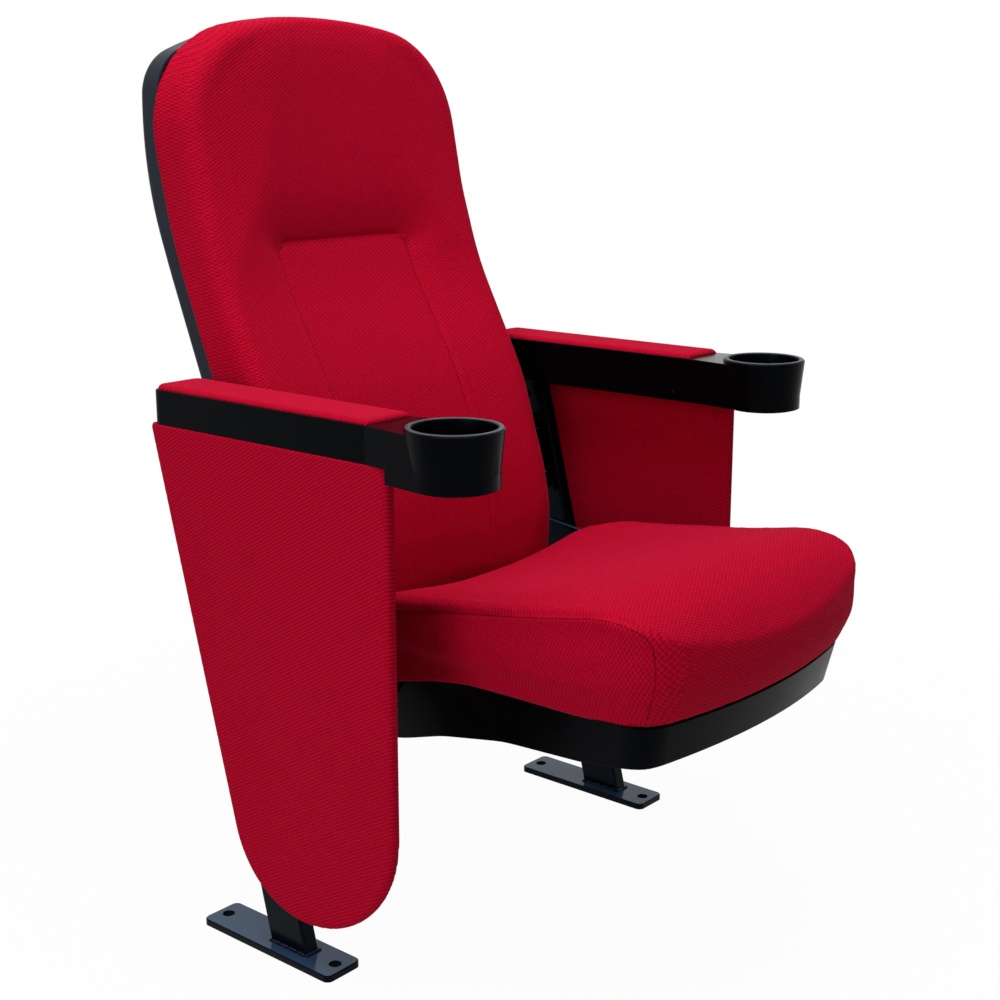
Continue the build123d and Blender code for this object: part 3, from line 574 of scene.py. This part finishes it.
def red_fabric(name, rising, falling):
    """Woven cloth: darker between its nubs as painted shade, paler on them as painted highlight,
    uneven in dye and fuzz.
    """
    nodes = Nodes(name)
    height = weave_height(nodes, rising, falling)
    fuzz = nodes.noise(1500, 3)
    dye = nodes.noise(7, 3)
    speck = nodes.noise(620, 2)
    # painted shade in the gaps between nubs and painted highlight on the nubs, set by the weave's
    # height; the dye noise only varies the tone
    gap_shade = nodes.mix(dye, (0.300, 0.0005, 0.0105, 1), (0.340, 0.0007, 0.0125, 1))
    light = nodes.mix(dye, (0.590, 0.0025, 0.0310, 1), (0.640, 0.0035, 0.0370, 1))
    tone = nodes.math("ADD", height, nodes.ramp(fuzz, 0.3, 0.7, -0.20, 0.20))
    tone = nodes.math("ADD", tone, nodes.ramp(speck, 0.3, 0.7, -0.28, 0.28))
    colour = nodes.mix(nodes.ramp(tone, 0.0, 1.0), gap_shade, light)
    relief = nodes.math("ADD", height, nodes.math("MULTIPLY", fuzz, 0.35))
    return nodes.set(
        Base_Color=colour,
        Roughness=nodes.ramp(fuzz, 0.3, 0.7, 0.80, 0.95),
        Specular_IOR_Level=0.05,
        Sheen_Weight=0.14,
        Sheen_Roughness=0.28,
        Sheen_Tint=(1.0, 0.17, 0.42, 1),
        Normal=nodes.bump(relief, 0.0006, 0.75),
    )


def seam_thread():
    """Twisted thread, darker than the cloth."""
    nodes = Nodes("seam_thread")
    twist = nodes.noise(2500, 1)
    return nodes.set(
        Base_Color=nodes.mix(twist, (0.11, 0.0004, 0.004, 1), (0.18, 0.0008, 0.007, 1)),
        Roughness=0.8,
        Specular_IOR_Level=0.03,
        Normal=nodes.bump(twist, 0.0003, 0.6),
    )


def soft_edge(nodes, radius):
    """Normal that rounds sharp moulded or ground edges."""
    bevel = nodes.add("ShaderNodeBevel", samples=6)
    bevel.inputs["Radius"].default_value = radius
    return bevel.outputs["Normal"]


def upward(nodes):
    """1 on faces that look up, 0 on the others."""
    parts = nodes.add("ShaderNodeSeparateXYZ")
    nodes.put(parts.inputs[0], nodes.add("ShaderNodeNewGeometry").outputs["True Normal"])
    return nodes.ramp(parts.outputs["Z"], 0.80, 0.97)


def black_plastic():
    """Pebbled moulded plastic, glossier on its top faces."""
    nodes = Nodes("black_plastic")
    pebble = nodes.noise(1100, 2)
    cloud = nodes.noise(14, 4)
    return nodes.set(
        Base_Color=nodes.mix(cloud, (0.0006, 0.0007, 0.0012, 1), (0.0012, 0.0013, 0.0021, 1)),
        Roughness=nodes.ramp(cloud, 0.35, 0.65, 0.22, 0.30),
        Specular_IOR_Level=0.030,
        Specular_Tint=(0.80, 0.90, 1.0, 1),
        Coat_Weight=nodes.math("MULTIPLY", upward(nodes), 0.4),
        Coat_Roughness=0.20,
        Normal=nodes.bump(pebble, 0.00006, 0.5, soft_edge(nodes, 0.0011)),
    )


def black_steel():
    """Painted steel with a little orange peel; the bluish colour of its top faces is a painted sky
    reflection.
    """
    nodes = Nodes("black_steel")
    peel = nodes.noise(320, 2)
    cloud = nodes.noise(20, 3)
    side = nodes.mix(cloud, (0.0008, 0.0010, 0.0018, 1), (0.0016, 0.0020, 0.0034, 1))
    # painted reflection: top faces get a bluish base colour that stands for the sky they mirror
    top = nodes.mix(cloud, (0.026, 0.064, 0.130, 1), (0.040, 0.088, 0.175, 1))
    return nodes.set(
        Base_Color=nodes.mix(upward(nodes), side, top),
        Roughness=nodes.ramp(cloud, 0.35, 0.65, 0.14, 0.26),
        Specular_IOR_Level=0.06,
        Specular_Tint=(0.42, 0.66, 1.0, 1),
        Coat_Weight=nodes.math("MULTIPLY", upward(nodes), 0.35),
        Coat_Roughness=0.10,
        Normal=nodes.bump(peel, 0.00008, 0.5, soft_edge(nodes, 0.0008)),
    )


def rim_plastic(name, colour):
    """Paler moulded plastic: the back shell's own colour, and on the cup holders' lips a painted
    highlight.
    """
    nodes = Nodes(name)
    pebble = nodes.noise(1100, 2)
    cloud = nodes.noise(22, 4)
    paler = tuple(1.5 * c for c in colour[:3]) + (1,)
    return nodes.set(
        Base_Color=nodes.mix(cloud, colour, paler),
        Roughness=nodes.ramp(cloud, 0.35, 0.65, 0.30, 0.42),
        Specular_IOR_Level=0.06,
        Specular_Tint=(0.80, 0.90, 1.0, 1),
        Normal=nodes.bump(pebble, 0.00006, 0.5, soft_edge(nodes, 0.0012)),
    )


def plywood():
    """Pale wood with its grain along x."""
    nodes = Nodes("plywood")
    stretch = nodes.add("ShaderNodeMapping")
    stretch.inputs["Scale"].default_value = (14, 160, 160)
    nodes.put(stretch.inputs["Vector"], nodes.object_coords())
    grain = nodes.noise(1, 5, stretch.outputs["Vector"])
    return nodes.set(
        Base_Color=nodes.mix(grain, (0.36, 0.22, 0.11, 1), (0.56, 0.40, 0.23, 1)),
        Roughness=0.72,
        Normal=nodes.bump(grain, 0.0003, 0.4),
    )


def bare_metal(name, colour, rough):
    """Plated or sprung steel with fine marks."""
    nodes = Nodes(name)
    marks = nodes.noise(420, 3)
    cloud = nodes.noise(60, 2)
    return nodes.set(
        Base_Color=nodes.mix(cloud, colour, tuple(0.82 * c for c in colour[:3]) + (1,)),
        Metallic=1.0,
        Roughness=nodes.ramp(marks, 0.3, 0.7, rough - 0.06, rough + 0.08),
        Normal=nodes.bump(marks, 0.00006, 0.5, soft_edge(nodes, 0.0003)),
    )


def moulded(name, colour, rough, grain_scale):
    """Nylon or rubber with a fine grain."""
    nodes = Nodes(name)
    grain = nodes.noise(grain_scale, 2)
    darker = tuple(0.8 * c for c in colour[:3]) + (1,)
    return nodes.set(
        Base_Color=nodes.mix(grain, darker, colour),
        Roughness=nodes.ramp(grain, 0.3, 0.7, rough - 0.05, rough + 0.05),
        Normal=nodes.bump(grain, 0.0001, 0.5),
    )


MATERIALS = {
    "red_fabric": red_fabric("red_fabric", 0.9, 1.0),
    "black_plastic": black_plastic(),
    "black_steel": black_steel(),
    "plywood": plywood(),
    "zinc_steel": bare_metal("zinc_steel", (0.56, 0.56, 0.57, 1), 0.34),
    "nylon": moulded("nylon", (0.78, 0.77, 0.72, 1), 0.45, 500),
    "rubber": moulded("rubber", (0.018, 0.018, 0.018, 1), 0.75, 900),
    "spring_steel": bare_metal("spring_steel", (0.30, 0.30, 0.32, 1), 0.30),
}
# side panels: the falling slant is made much stronger because the light there picks it out, so
# through the nub tone this slant is painted light
SIDE_FABRIC = red_fabric("side_fabric", 0.52, 1.0)
SHELL_PLASTIC = rim_plastic("shell_plastic", (0.016, 0.019, 0.026, 1))
# painted highlight: pale bluish plastic for the ring of light on each cup holder's lip
LIP_HIGHLIGHT_PLASTIC = rim_plastic("lip_highlight_plastic", (0.060, 0.068, 0.085, 1))
THREAD = seam_thread()


def finish_with(piece, slot, look=None):
    """Give a piece the look of a record slot, or a look of its own in that slot."""
    piece.data.materials.clear()
    piece.data.materials.append(look or MATERIALS[slot])


def dress_cad_nodes():
    """Each carried-over CAD node gets the look of its slot."""
    slots = {row["node"]: row["material_slot"] for row in frame["record"]["subparts"]}
    for node, thing in frame["nodes"].items():
        for place in thing.material_slots:
            place.link = "OBJECT"
            place.material = SHELL_PLASTIC if node == "back_shell" else MATERIALS[slots[node]]


# ------------------------------------------------------------------ back cushion

back_line = curve_through(BACK_HEIGHTS, BACK_FRONTS)
hollow_line = curve_through(BACK_HEIGHTS, np.add(BACK_FRONTS, BACK_HOLLOWS))
arc_heights = np.linspace(0.30, 1.10, 400)
arc_lengths = np.concatenate([[0], np.cumsum(np.hypot(
    np.diff(arc_heights), np.diff(back_line(arc_heights))))])


def panel_distance(x, z):
    """Distance inside the sewn panel's outline: positive inside, negative outside."""
    side = PANEL_HALF - np.abs(x)
    top = CREASE_Z - z
    corner = np.minimum(side, top)
    near = (side < PANEL_CORNER) & (top < PANEL_CORNER)
    rounded = PANEL_CORNER - np.hypot(PANEL_CORNER - side, PANEL_CORNER - top)
    return np.where(near, rounded, corner)


def back_relief(x, z):
    """How far the sewn panel and the crease draw the front in, along +y."""
    aside = np.maximum(np.abs(x) - PANEL_HALF, 0)
    corner = np.clip(np.abs(x) - PANEL_HALF + PANEL_CORNER, 0, PANEL_CORNER)
    crease = CREASE_Z - 0.5 * (PANEL_CORNER - np.sqrt(PANEL_CORNER ** 2 - corner ** 2))
    above = np.maximum(z - crease, 0)
    below = np.maximum(crease - z, 0)
    within = panel_distance(x, z)
    fold = CREASE_FOLD * (np.exp(-above / FOLD_ABOVE) * (z > crease)
                          + np.exp(-below / FOLD_BELOW) * (z <= crease))
    fold *= 1 - smooth_step(PANEL_HALF - 0.014, PANEL_HALF + 0.002, np.abs(x))
    head = CREASE_DEEP * np.exp(-(above / HEAD_FADE) ** 1.4)
    head *= np.exp(-(aside / (SIDE_FADE + 0.5 * above)) ** 1.6)
    panel = CREASE_DEEP * np.exp(-below / PANEL_FADE) * np.exp(-(aside / SIDE_FADE) ** 1.6)
    flat = PANEL_DEEP * smooth_step(-0.004, 0.008, within)
    seam = SEAM_DEEP * np.exp(-(within / SEAM_HALF_WIDE) ** 2)
    seam *= (1 - 0.7 * smooth_step(0.18, 0.42, below)) * (z < crease - 0.004)
    strip = -STRIP_HIGH * np.exp(-((within + STRIP_AWAY) / STRIP_HALF_WIDE) ** 2)
    return np.where(z > crease, head, panel + flat) + fold + seam + strip * (below > 0.01)


def outline_distance(x, z):
    """Distance in from the back cushion's outline, seen from the front."""
    low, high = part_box("back_cushion")
    side = high[0] - np.abs(x)
    top = high[2] - x ** 2 / (2 * BACK_CROWN_RADIUS) - z
    near = (side < BACK_CORNER) & (top < BACK_CORNER)
    rounded = BACK_CORNER - np.hypot(BACK_CORNER - side, BACK_CORNER - top)
    return np.minimum(np.where(near, rounded, np.minimum(side, top)), z - low[2])


def back_front(x, z):
    """Front surface of the back cushion before it is sewn: side line, hollow and top roll."""
    flat = back_line(z)
    hollow = hollow_line(z) - x ** 2 / (2 * HOLLOW_RADIUS)
    blend = 0.004 + 0.008 * smooth_step(0.78, 0.90, z)
    soft = blend * np.logaddexp(flat / blend, hollow / blend)
    surface = soft - blend * np.log(2) * np.exp(-np.abs(flat - hollow) / blend)
    edge = np.clip(1 - outline_distance(x, z) / TOP_ROLL, 0, 1)
    return surface + TOP_ROLL_DEEP * edge ** 2 * smooth_step(0.93, 1.02, z)


def move_front(piece):
    """Bring the front of the back cushion onto its surface, but not its rim or its back."""
    mesh = piece.data
    points = coords(mesh)
    x, y, z = points.T
    wanted = back_front(x, z)
    weight = smooth_step(0.010, 0.030, outline_distance(x, z)) * (np.abs(y - wanted) < 0.03)
    weight *= normals(mesh)[:, 1] < 0.4
    points[:, 1] = y + weight * (wanted - y)
    set_coords(mesh, points)


def sew_back(piece):
    """Draw in the crease, the sewn panel and its seams."""
    mesh = piece.data
    points = coords(mesh)
    facing = normals(mesh)
    x, y, z = points.T
    ahead = np.abs(y - back_front(x, z)) < 0.02
    points[:, 1] = y + back_relief(x, z) * smooth_step(0.2, 0.6, -facing[:, 1]) * ahead
    set_coords(mesh, points)


def hang_back(piece, seam):
    """Fill the cushion's foot down behind the seat, and its rim out and back to the shell."""
    points = coords(piece.data)
    facing = normals(piece.data)
    rim = 1 - smooth_step(0.004, 0.022, seam(points[:, 2]) - points[:, 1])
    outward = facing * np.array((1, 0, 1))
    corner = smooth_step(0.84, 0.97, points[:, 2])
    corner = corner * smooth_step(0.05, 0.18, np.abs(points[:, 0]))
    points += outward * (rim * RIM_OUT)[:, None]
    points[:, 0] += facing[:, 0] * rim * CORNER_OUT * corner
    points[:, 1] += RIM_BACK * rim * smooth_step(0.2, 0.6, np.linalg.norm(outward, axis=1))
    foot = (1 - smooth_step(0.37, 0.43, points[:, 2])) * smooth_step(0.0, 0.5, -facing[:, 1])
    points[:, 1] += FOOT_BACK * foot
    points[:, 2] -= FOOT_DOWN * (1 - smooth_step(0.355, 0.42, points[:, 2]))
    set_coords(piece.data, points)


def back_pad():
    """The back cushion: formed, blown up, then sewn."""
    pad = copy_of("back_cushion", "back_pad", "frame")
    remesh(pad, BACK_VOXELS[0], smooth=0)
    move_front(pad)
    remesh(pad, BACK_VOXELS[1], smooth=0)
    seam = curve_through(BACK_HEIGHTS, BACK_SEAMS)
    points = coords(pad.data)
    ahead = seam(points[:, 2]) - points[:, 1]
    relax(pad, 3)
    relax(pad, 8, smooth_step(0.006, 0.022, ahead))
    bake(pad)
    grow(pad, PROUD)
    hang_back(pad, seam)
    inflate(pad, lambda p: 1 - smooth_step(0.004, 0.024, seam(p[:, 2]) - p[:, 1]),
            BACK_PRESSURE, BACK_CAP)
    subdivide(pad)
    sew_back(pad)

    def panel_of(centres, facing):
        sides = (np.abs(facing[:, 0]) > 0.80) | (facing[:, 2] > 0.80) | (facing[:, 1] > 0.5)
        return sides.astype(int)

    def front(p):
        return flat_map(p[:, 0], np.interp(p[:, 2], arc_heights, arc_lengths))

    def boxing(p):
        return flat_map(0.4 * p[:, 1] + np.abs(p[:, 0]), p[:, 2])

    cut_cloth(pad, panel_of, (front, boxing))
    finish_with(pad, "red_fabric")
    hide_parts("back_cushion")
    rows = np.linspace(CREASE_Z - 0.012, PANEL_FOOT, 120)
    for side, x in (("left", PANEL_HALF), ("right", -PANEL_HALF)):
        line = [(x, back_front(x, z) + back_relief(x, z), z) for z in rows]
        sewn_line(f"back_seam_{side}", "frame", pad, line)


# ------------------------------------------------------------------ seat cushion

def eased(path, times):
    """A line whose bends are cut off, over and over, into a soft curve."""
    for _ in range(times):
        first = 0.75 * path[:-1] + 0.25 * path[1:]
        second = 0.25 * path[:-1] + 0.75 * path[1:]
        bends = np.stack([first, second], axis=1).reshape(-1, 2)
        path = np.concatenate([path[:1], bends, path[-1:]])
    return path


seam_path = eased(np.array(BOXING_SEAM), 3)


def seam_distance(y, z):
    """Distance from the boxing seam: positive on the boxing's side, seen from the side."""
    best = np.full(len(y), 1.0)
    sign = np.ones(len(y))
    for (ya, za), (yb, zb) in zip(seam_path[:-1], seam_path[1:]):
        along = np.array([yb - ya, zb - za])
        t = np.clip(((y - ya) * along[0] + (z - za) * along[1]) / (along @ along), 0, 1)
        dy, dz = y - ya - t * along[0], z - za - t * along[1]
        gap = np.hypot(dy, dz)
        closer = gap < best
        best = np.where(closer, gap, best)
        side = along[0] * dz - along[1] * dy
        sign = np.where(closer, np.where(side > 0, 1.0, -1.0), sign)
    return best * sign


def top_heights(piece):
    """The piece's top height over (x, y), from rays cast down on a grid."""
    skin = surface_of(piece)
    points = coords(piece.data)
    (x0, y0, _), (x1, y1, high) = points.min(axis=0), points.max(axis=0)
    xs, ys = np.linspace(x0 + 0.001, x1 - 0.001, 60), np.linspace(y0 + 0.001, y1 - 0.001, 70)
    heights = np.empty((len(xs), len(ys)))
    for i, x in enumerate(xs):
        for j, y in enumerate(ys):
            hit = skin.ray_cast(Vector((x, y, high + 0.1)), Vector((0, 0, -1)))[0]
            heights[i, j] = hit.z if hit else PAN_TOP

    def at(x, y):
        u = np.clip((x - xs[0]) / (xs[1] - xs[0]), 0, len(xs) - 1.001)
        v = np.clip((y - ys[0]) / (ys[1] - ys[0]), 0, len(ys) - 1.001)
        i, j = u.astype(int), v.astype(int)
        u, v = u - i, v - j
        return ((1 - u) * (1 - v) * heights[i, j] + u * (1 - v) * heights[i + 1, j]
                + (1 - u) * v * heights[i, j + 1] + u * v * heights[i + 1, j + 1])
    return at


def dish_seat(piece):
    """Sink the sitting area between its two side rolls, and shape the top's side line."""
    heights = top_heights(piece)
    points = coords(piece.data)
    x, y, z = points.T
    top = heights(x, y)
    middle = np.interp(-y, DISH_REACH, DISH_DEEP)
    aside = np.minimum(np.abs(x) / DISH_HALF, 1) ** 2.5
    drop = middle * (1 - aside) + REAR_DROP * smooth_step(-0.06, 0.0, y) * aside
    drop += np.interp(-y, TOP_PLACES, TOP_DROPS)
    share = np.clip((z - PAN_TOP) / np.maximum(top - PAN_TOP, 0.012), 0, 1)
    points[:, 2] = z - drop * share
    set_coords(piece.data, points)


def hang_skirt(piece):
    """Let the cover's lower edge hang over the pan's sides, lower towards the back."""
    points = coords(piece.data)
    x, y, z = points.T
    low = 1 - smooth_step(PAN_TOP + 0.002, PAN_TOP + 0.016, z)
    low = low * smooth_step(0.188, 0.196, np.abs(x)) * smooth_step(-0.455, -0.34, y)
    reach = y - SKIRT_START
    fall = SKIRT_SLOPE * (reach + np.hypot(reach, SKIRT_BEND)) / 2
    fall *= 1 - smooth_step(-0.02, 0.0, y)
    points[:, 2] = z - low * (fall + SKIRT_HANG)
    points[:, 0] = x + np.sign(x) * low * SKIRT_OUT
    set_coords(piece.data, points)


def sew_seat(piece):
    """Draw in the boxing seams, with the roll above and the sides below them."""
    points = coords(piece.data)
    facing = normals(piece.data)
    distance = seam_distance(points[:, 1], points[:, 2])
    on_side = smooth_step(0.15, 0.4, np.abs(facing[:, 0])) * (np.abs(points[:, 0]) > 0.15)
    shoulder = 4 * facing[:, 2] * (1 - facing[:, 2]) * smooth_step(0.0, 0.1, facing[:, 2])
    pinch = PINCH_DEEP * np.exp(-(distance / PINCH_HALF_WIDE) ** 2)
    swell = SWELL_HIGH * np.exp(-((distance + SWELL_AWAY) / SWELL_HALF_WIDE) ** 2)
    sink = SIDE_SINK * smooth_step(0.0, 0.008, distance)
    points += facing * ((swell - pinch - sink) * on_side + SHOULDER_FILL * shoulder)[:, None]
    set_coords(piece.data, points)


def along_profile(y, z):
    """How far along the seat's side line a point lies, seen from the side."""
    profile = np.array(TOP_PROFILE)
    steps = np.concatenate([[0], np.cumsum(np.hypot(*np.diff(profile, axis=0).T))])
    best = np.full(len(y), 9.0)
    length = np.zeros(len(y))
    for i, (start, end) in enumerate(zip(profile[:-1], profile[1:])):
        span = end - start
        t = ((y - start[0]) * span[0] + (z - start[1]) * span[1]) / (span @ span)
        t = np.clip(t, 0, 1)
        gap = np.hypot(y - start[0] - t * span[0], z - start[1] - t * span[1])
        length = np.where(gap < best, steps[i] + t * (steps[i + 1] - steps[i]), length)
        best = np.minimum(best, gap)
    return length


def seat_pad():
    """The seat cushion: blown up, dished, hung over the pan, then sewn."""
    pad = copy_of("seat_cushion", "seat_pad", "seat")
    remesh(pad, SEAT_VOXEL, smooth=4)
    grow(pad, PROUD)
    inflate(pad, lambda p: 1 - smooth_step(PAN_TOP + 0.004, PAN_TOP + 0.02, p[:, 2]),
            SEAT_PRESSURE, SEAT_CAP)
    relax(pad, 2)
    bake(pad)
    dish_seat(pad)
    relax(pad, 6)
    bake(pad)
    hang_skirt(pad)
    subdivide(pad)
    sew_seat(pad)

    def panel_of(centres, facing):
        inside = seam_distance(centres[:, 1], centres[:, 2]) > 0
        return (inside & (np.abs(facing[:, 0]) > 0.3)).astype(int)

    def top(p):
        return flat_map(p[:, 0], along_profile(p[:, 1], p[:, 2]))

    def boxing(p):
        return flat_map(p[:, 2], p[:, 1])

    cut_cloth(pad, panel_of, (top, boxing))
    finish_with(pad, "red_fabric")
    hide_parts("seat_cushion")
    for side, x in (("left", SEAT_HALF), ("right", -SEAT_HALF)):
        line = [(x, y, z) for y, z in seam_path[2:-3]]
        sewn_line(f"seat_seam_{side}", "seat", pad, line)


# ------------------------------------------------------------------ side panels and arm pads

def side_pad(side):
    """The upholstered panel outside a post: foam and cloth round its board."""
    pad = hull_of(f"{side}_side_cover", f"{side}_side_pad", "frame")
    remesh(pad, SIDE_VOXEL, smooth=4)
    grow(pad, SIDE_PROUD)
    middle = sum(corner[0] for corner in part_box(f"{side}_side_cover")) / 2

    def face(p):
        return flat_map(-p[:, 1] + 0.4 * (np.abs(p[:, 0]) - abs(middle)), p[:, 2])

    subdivide(pad)
    cut_cloth(pad, one_panel, (face,))
    finish_with(pad, "red_fabric", SIDE_FABRIC)
    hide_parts(f"{side}_side_cover", f"{side}_side_board")


def arm_pad(side):
    """The padded top of an armrest."""
    pad = copy_of(f"{side}_arm_pad", f"{side}_arm_top", "frame")
    remesh(pad, ARM_VOXEL, smooth=4)

    def top(p):
        return flat_map(p[:, 1], p[:, 0] + p[:, 2])

    subdivide(pad)
    cut_cloth(pad, one_panel, (top,))
    finish_with(pad, "red_fabric")
    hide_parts(f"{side}_arm_pad")


# ------------------------------------------------------------------ lips, screw heads and welds

def tube(name, points, radius, look, sides=10, flat=1.0):
    """A closed round bar along a level loop of points; radius is a function of the index."""
    count = len(points)
    rise = Vector((0, 0, flat))
    form = bmesh.new()
    rings = []
    for index, point in enumerate(points):
        ahead = Vector(points[(index + 1) % count]) - Vector(points[index - 1])
        ahead.normalize()
        across = ahead.cross(Vector((0, 0, 1))).normalized()
        rings.append(ring_round(form, Vector(point), across, rise, radius(index), sides))
    for index in range(count):
        skin_between(form, rings[index], rings[(index + 1) % count])
    new_piece(name, smooth_mesh(form, name, look), "frame")


def cup_lip_highlight(side):
    """The paler lip round a cup holder's mouth: a ring whose pale colour is a painted highlight.
    """
    low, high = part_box(f"{side}_armrest")
    across = (low[0] + high[0]) / 2
    centre = low[1] + (high[0] - low[0]) / 2
    reach = (high[0] - low[0]) / 2 - CUP_LIP_IN
    loop = [(across + reach * cos(a), centre + reach * sin(a), CUP_RIM_Z)
            for a in (2 * pi * k / 120 for k in range(120))]
    tube(f"{side}_cup_lip_highlight", loop, lambda index: CUP_LIP_R, LIP_HIGHLIGHT_PLASTIC,
         flat=CUP_LIP_FLAT)


def arm_plug(side):
    """The small screw head low on the inner side of an armrest."""
    arm = frame["nodes"][f"{side}_armrest"]
    skin = BVHTree.FromPolygons([arm.matrix_world @ v.co for v in arm.data.vertices],
                                [tuple(face.vertices) for face in arm.data.polygons])
    outward = 1 if side == "left" else -1
    inner = skin.ray_cast(Vector((0, PLUG_Y, PLUG_Z)), Vector((outward, 0, 0)))[0]
    mesh = bpy.data.meshes.new(f"{side}_arm_plug")
    form = bmesh.new()
    bmesh.ops.create_uvsphere(form, u_segments=20, v_segments=12, radius=PLUG_R)
    bmesh.ops.scale(form, vec=(0.35, 1, 1), verts=form.verts)
    bmesh.ops.translate(form, vec=inner, verts=form.verts)
    form.to_mesh(mesh)
    form.free()
    mesh.materials.append(MATERIALS["black_steel"])
    new_piece(f"{side}_arm_plug", mesh, "frame")


def weld(side):
    """The weld bead round a post's foot."""
    post = frame["nodes"][f"{side}_post"]
    points = np.array([post.matrix_world @ v.co for v in post.data.vertices])
    foot = points[points[:, 2] < points[:, 2].min() + 0.0005]
    (x0, y0, z0), (x1, y1, _) = foot.min(axis=0), foot.max(axis=0)
    corners = [(x0, y0, z0), (x1, y0, z0), (x1, y1, z0), (x0, y1, z0), (x0, y0, z0)]
    loop = [tuple(p) for p in evenly(corners, WELD_STEP)][:-1]
    tube(f"{side}_weld", loop, lambda i: WELD_R + 0.0005 * sin(i * 2.1) + 0.0003 * sin(i * 0.7),
         MATERIALS["black_steel"], sides=8)


# ------------------------------------------------------------------ camera, floor and light

def camera():
    """The photograph's camera."""
    lens = bpy.data.cameras.new("camera")
    lens.lens = CAMERA_LENS
    lens.sensor_width = 36
    lens.sensor_fit = "HORIZONTAL"
    lens.clip_end = 60
    eye = bpy.data.objects.new("camera", lens)
    scene.collection.objects.link(eye)
    eye.location = CAMERA_PLACE
    eye.rotation_euler = Vector(CAMERA_LOOK).to_track_quat("-Z", "Y").to_euler()
    scene.camera = eye


def seen_directly(tree):
    """1 for rays from the camera and for reflections, 0 for light on the object."""
    path = tree.nodes.new("ShaderNodeLightPath")
    seen = path.outputs["Is Camera Ray"]
    for kind in ("Is Glossy Ray", "Is Transmission Ray"):
        either = tree.nodes.new("ShaderNodeMath")
        either.operation = "MAXIMUM"
        tree.links.new(seen, either.inputs[0])
        tree.links.new(path.outputs[kind], either.inputs[1])
        seen = either.outputs[0]
    return seen


def world():
    """A dim even room, seen as white."""
    room = bpy.data.worlds.new("room")
    room.use_nodes = True
    tree = room.node_tree
    plain = tree.nodes["Background"]
    white = tree.nodes.new("ShaderNodeBackground")
    for part, strength in ((plain, ROOM_LIGHT), (white, 1.0)):
        part.inputs["Color"].default_value = (1, 1, 1, 1)
        part.inputs["Strength"].default_value = strength
    mix = tree.nodes.new("ShaderNodeMixShader")
    tree.links.new(seen_directly(tree), mix.inputs[0])
    tree.links.new(plain.outputs[0], mix.inputs[1])
    tree.links.new(white.outputs[0], mix.inputs[2])
    tree.links.new(mix.outputs[0], tree.nodes["World Output"].inputs["Surface"])
    scene.world = room


def floor():
    """A pale floor that is nearly white to the eye, and fades to white further off."""
    mesh = bpy.data.meshes.new("floor")
    corners = ((-1, -1), (1, -1), (1, 1), (-1, 1))
    mesh.from_pydata([(FLOOR_REACH * x, FLOOR_REACH * y, 0) for x, y in corners],
                     [], [(0, 1, 2, 3)])
    ground = bpy.data.objects.new("floor", mesh)
    scene.collection.objects.link(ground)
    nodes = Nodes("floor")
    distance = nodes.add("ShaderNodeVectorMath", operation="LENGTH")
    nodes.put(distance.inputs[0], nodes.object_coords())
    fade = nodes.ramp(distance.outputs["Value"], 0.7, 1.6, FLOOR_GLOW, 1.0)
    paint = nodes.mix(seen_directly(nodes.tree), (0.60, 0.60, 0.61, 1), (0.92, 0.92, 0.92, 1))
    nodes.set(Base_Color=paint, Roughness=0.9, Specular_IOR_Level=0.0)
    glow = nodes.add("ShaderNodeEmission")
    glow.inputs["Color"].default_value = (1, 1, 1, 1)
    mix = nodes.add("ShaderNodeMixShader")
    nodes.put(mix.inputs[0], nodes.math("MULTIPLY", seen_directly(nodes.tree), fade))
    nodes.put(mix.inputs[1], nodes.shader.outputs[0])
    nodes.put(mix.inputs[2], glow.outputs[0])
    nodes.put(nodes.tree.nodes["Material Output"].inputs["Surface"], mix.outputs[0])
    mesh.materials.append(nodes.material)


def softbox(name, place, aim, size, watts):
    """A rectangular soft lamp aimed at a point."""
    lamp = bpy.data.lights.new(name, "AREA")
    lamp.shape = "RECTANGLE"
    lamp.size, lamp.size_y = size
    lamp.energy = watts
    thing = bpy.data.objects.new(name, lamp)
    scene.collection.objects.link(thing)
    thing.location = place
    thing.rotation_euler = (Vector(aim) - Vector(place)).to_track_quat("-Z", "Y").to_euler()


scene.view_settings.view_transform = "Standard"
camera()
world()
floor()
for lamp in LAMPS:
    softbox(*lamp)
dress_cad_nodes()
seat_pad()
back_pad()
for side in ("left", "right"):
    side_pad(side)
    arm_pad(side)
    cup_lip_highlight(side)
    arm_plug(side)
    weld(side)
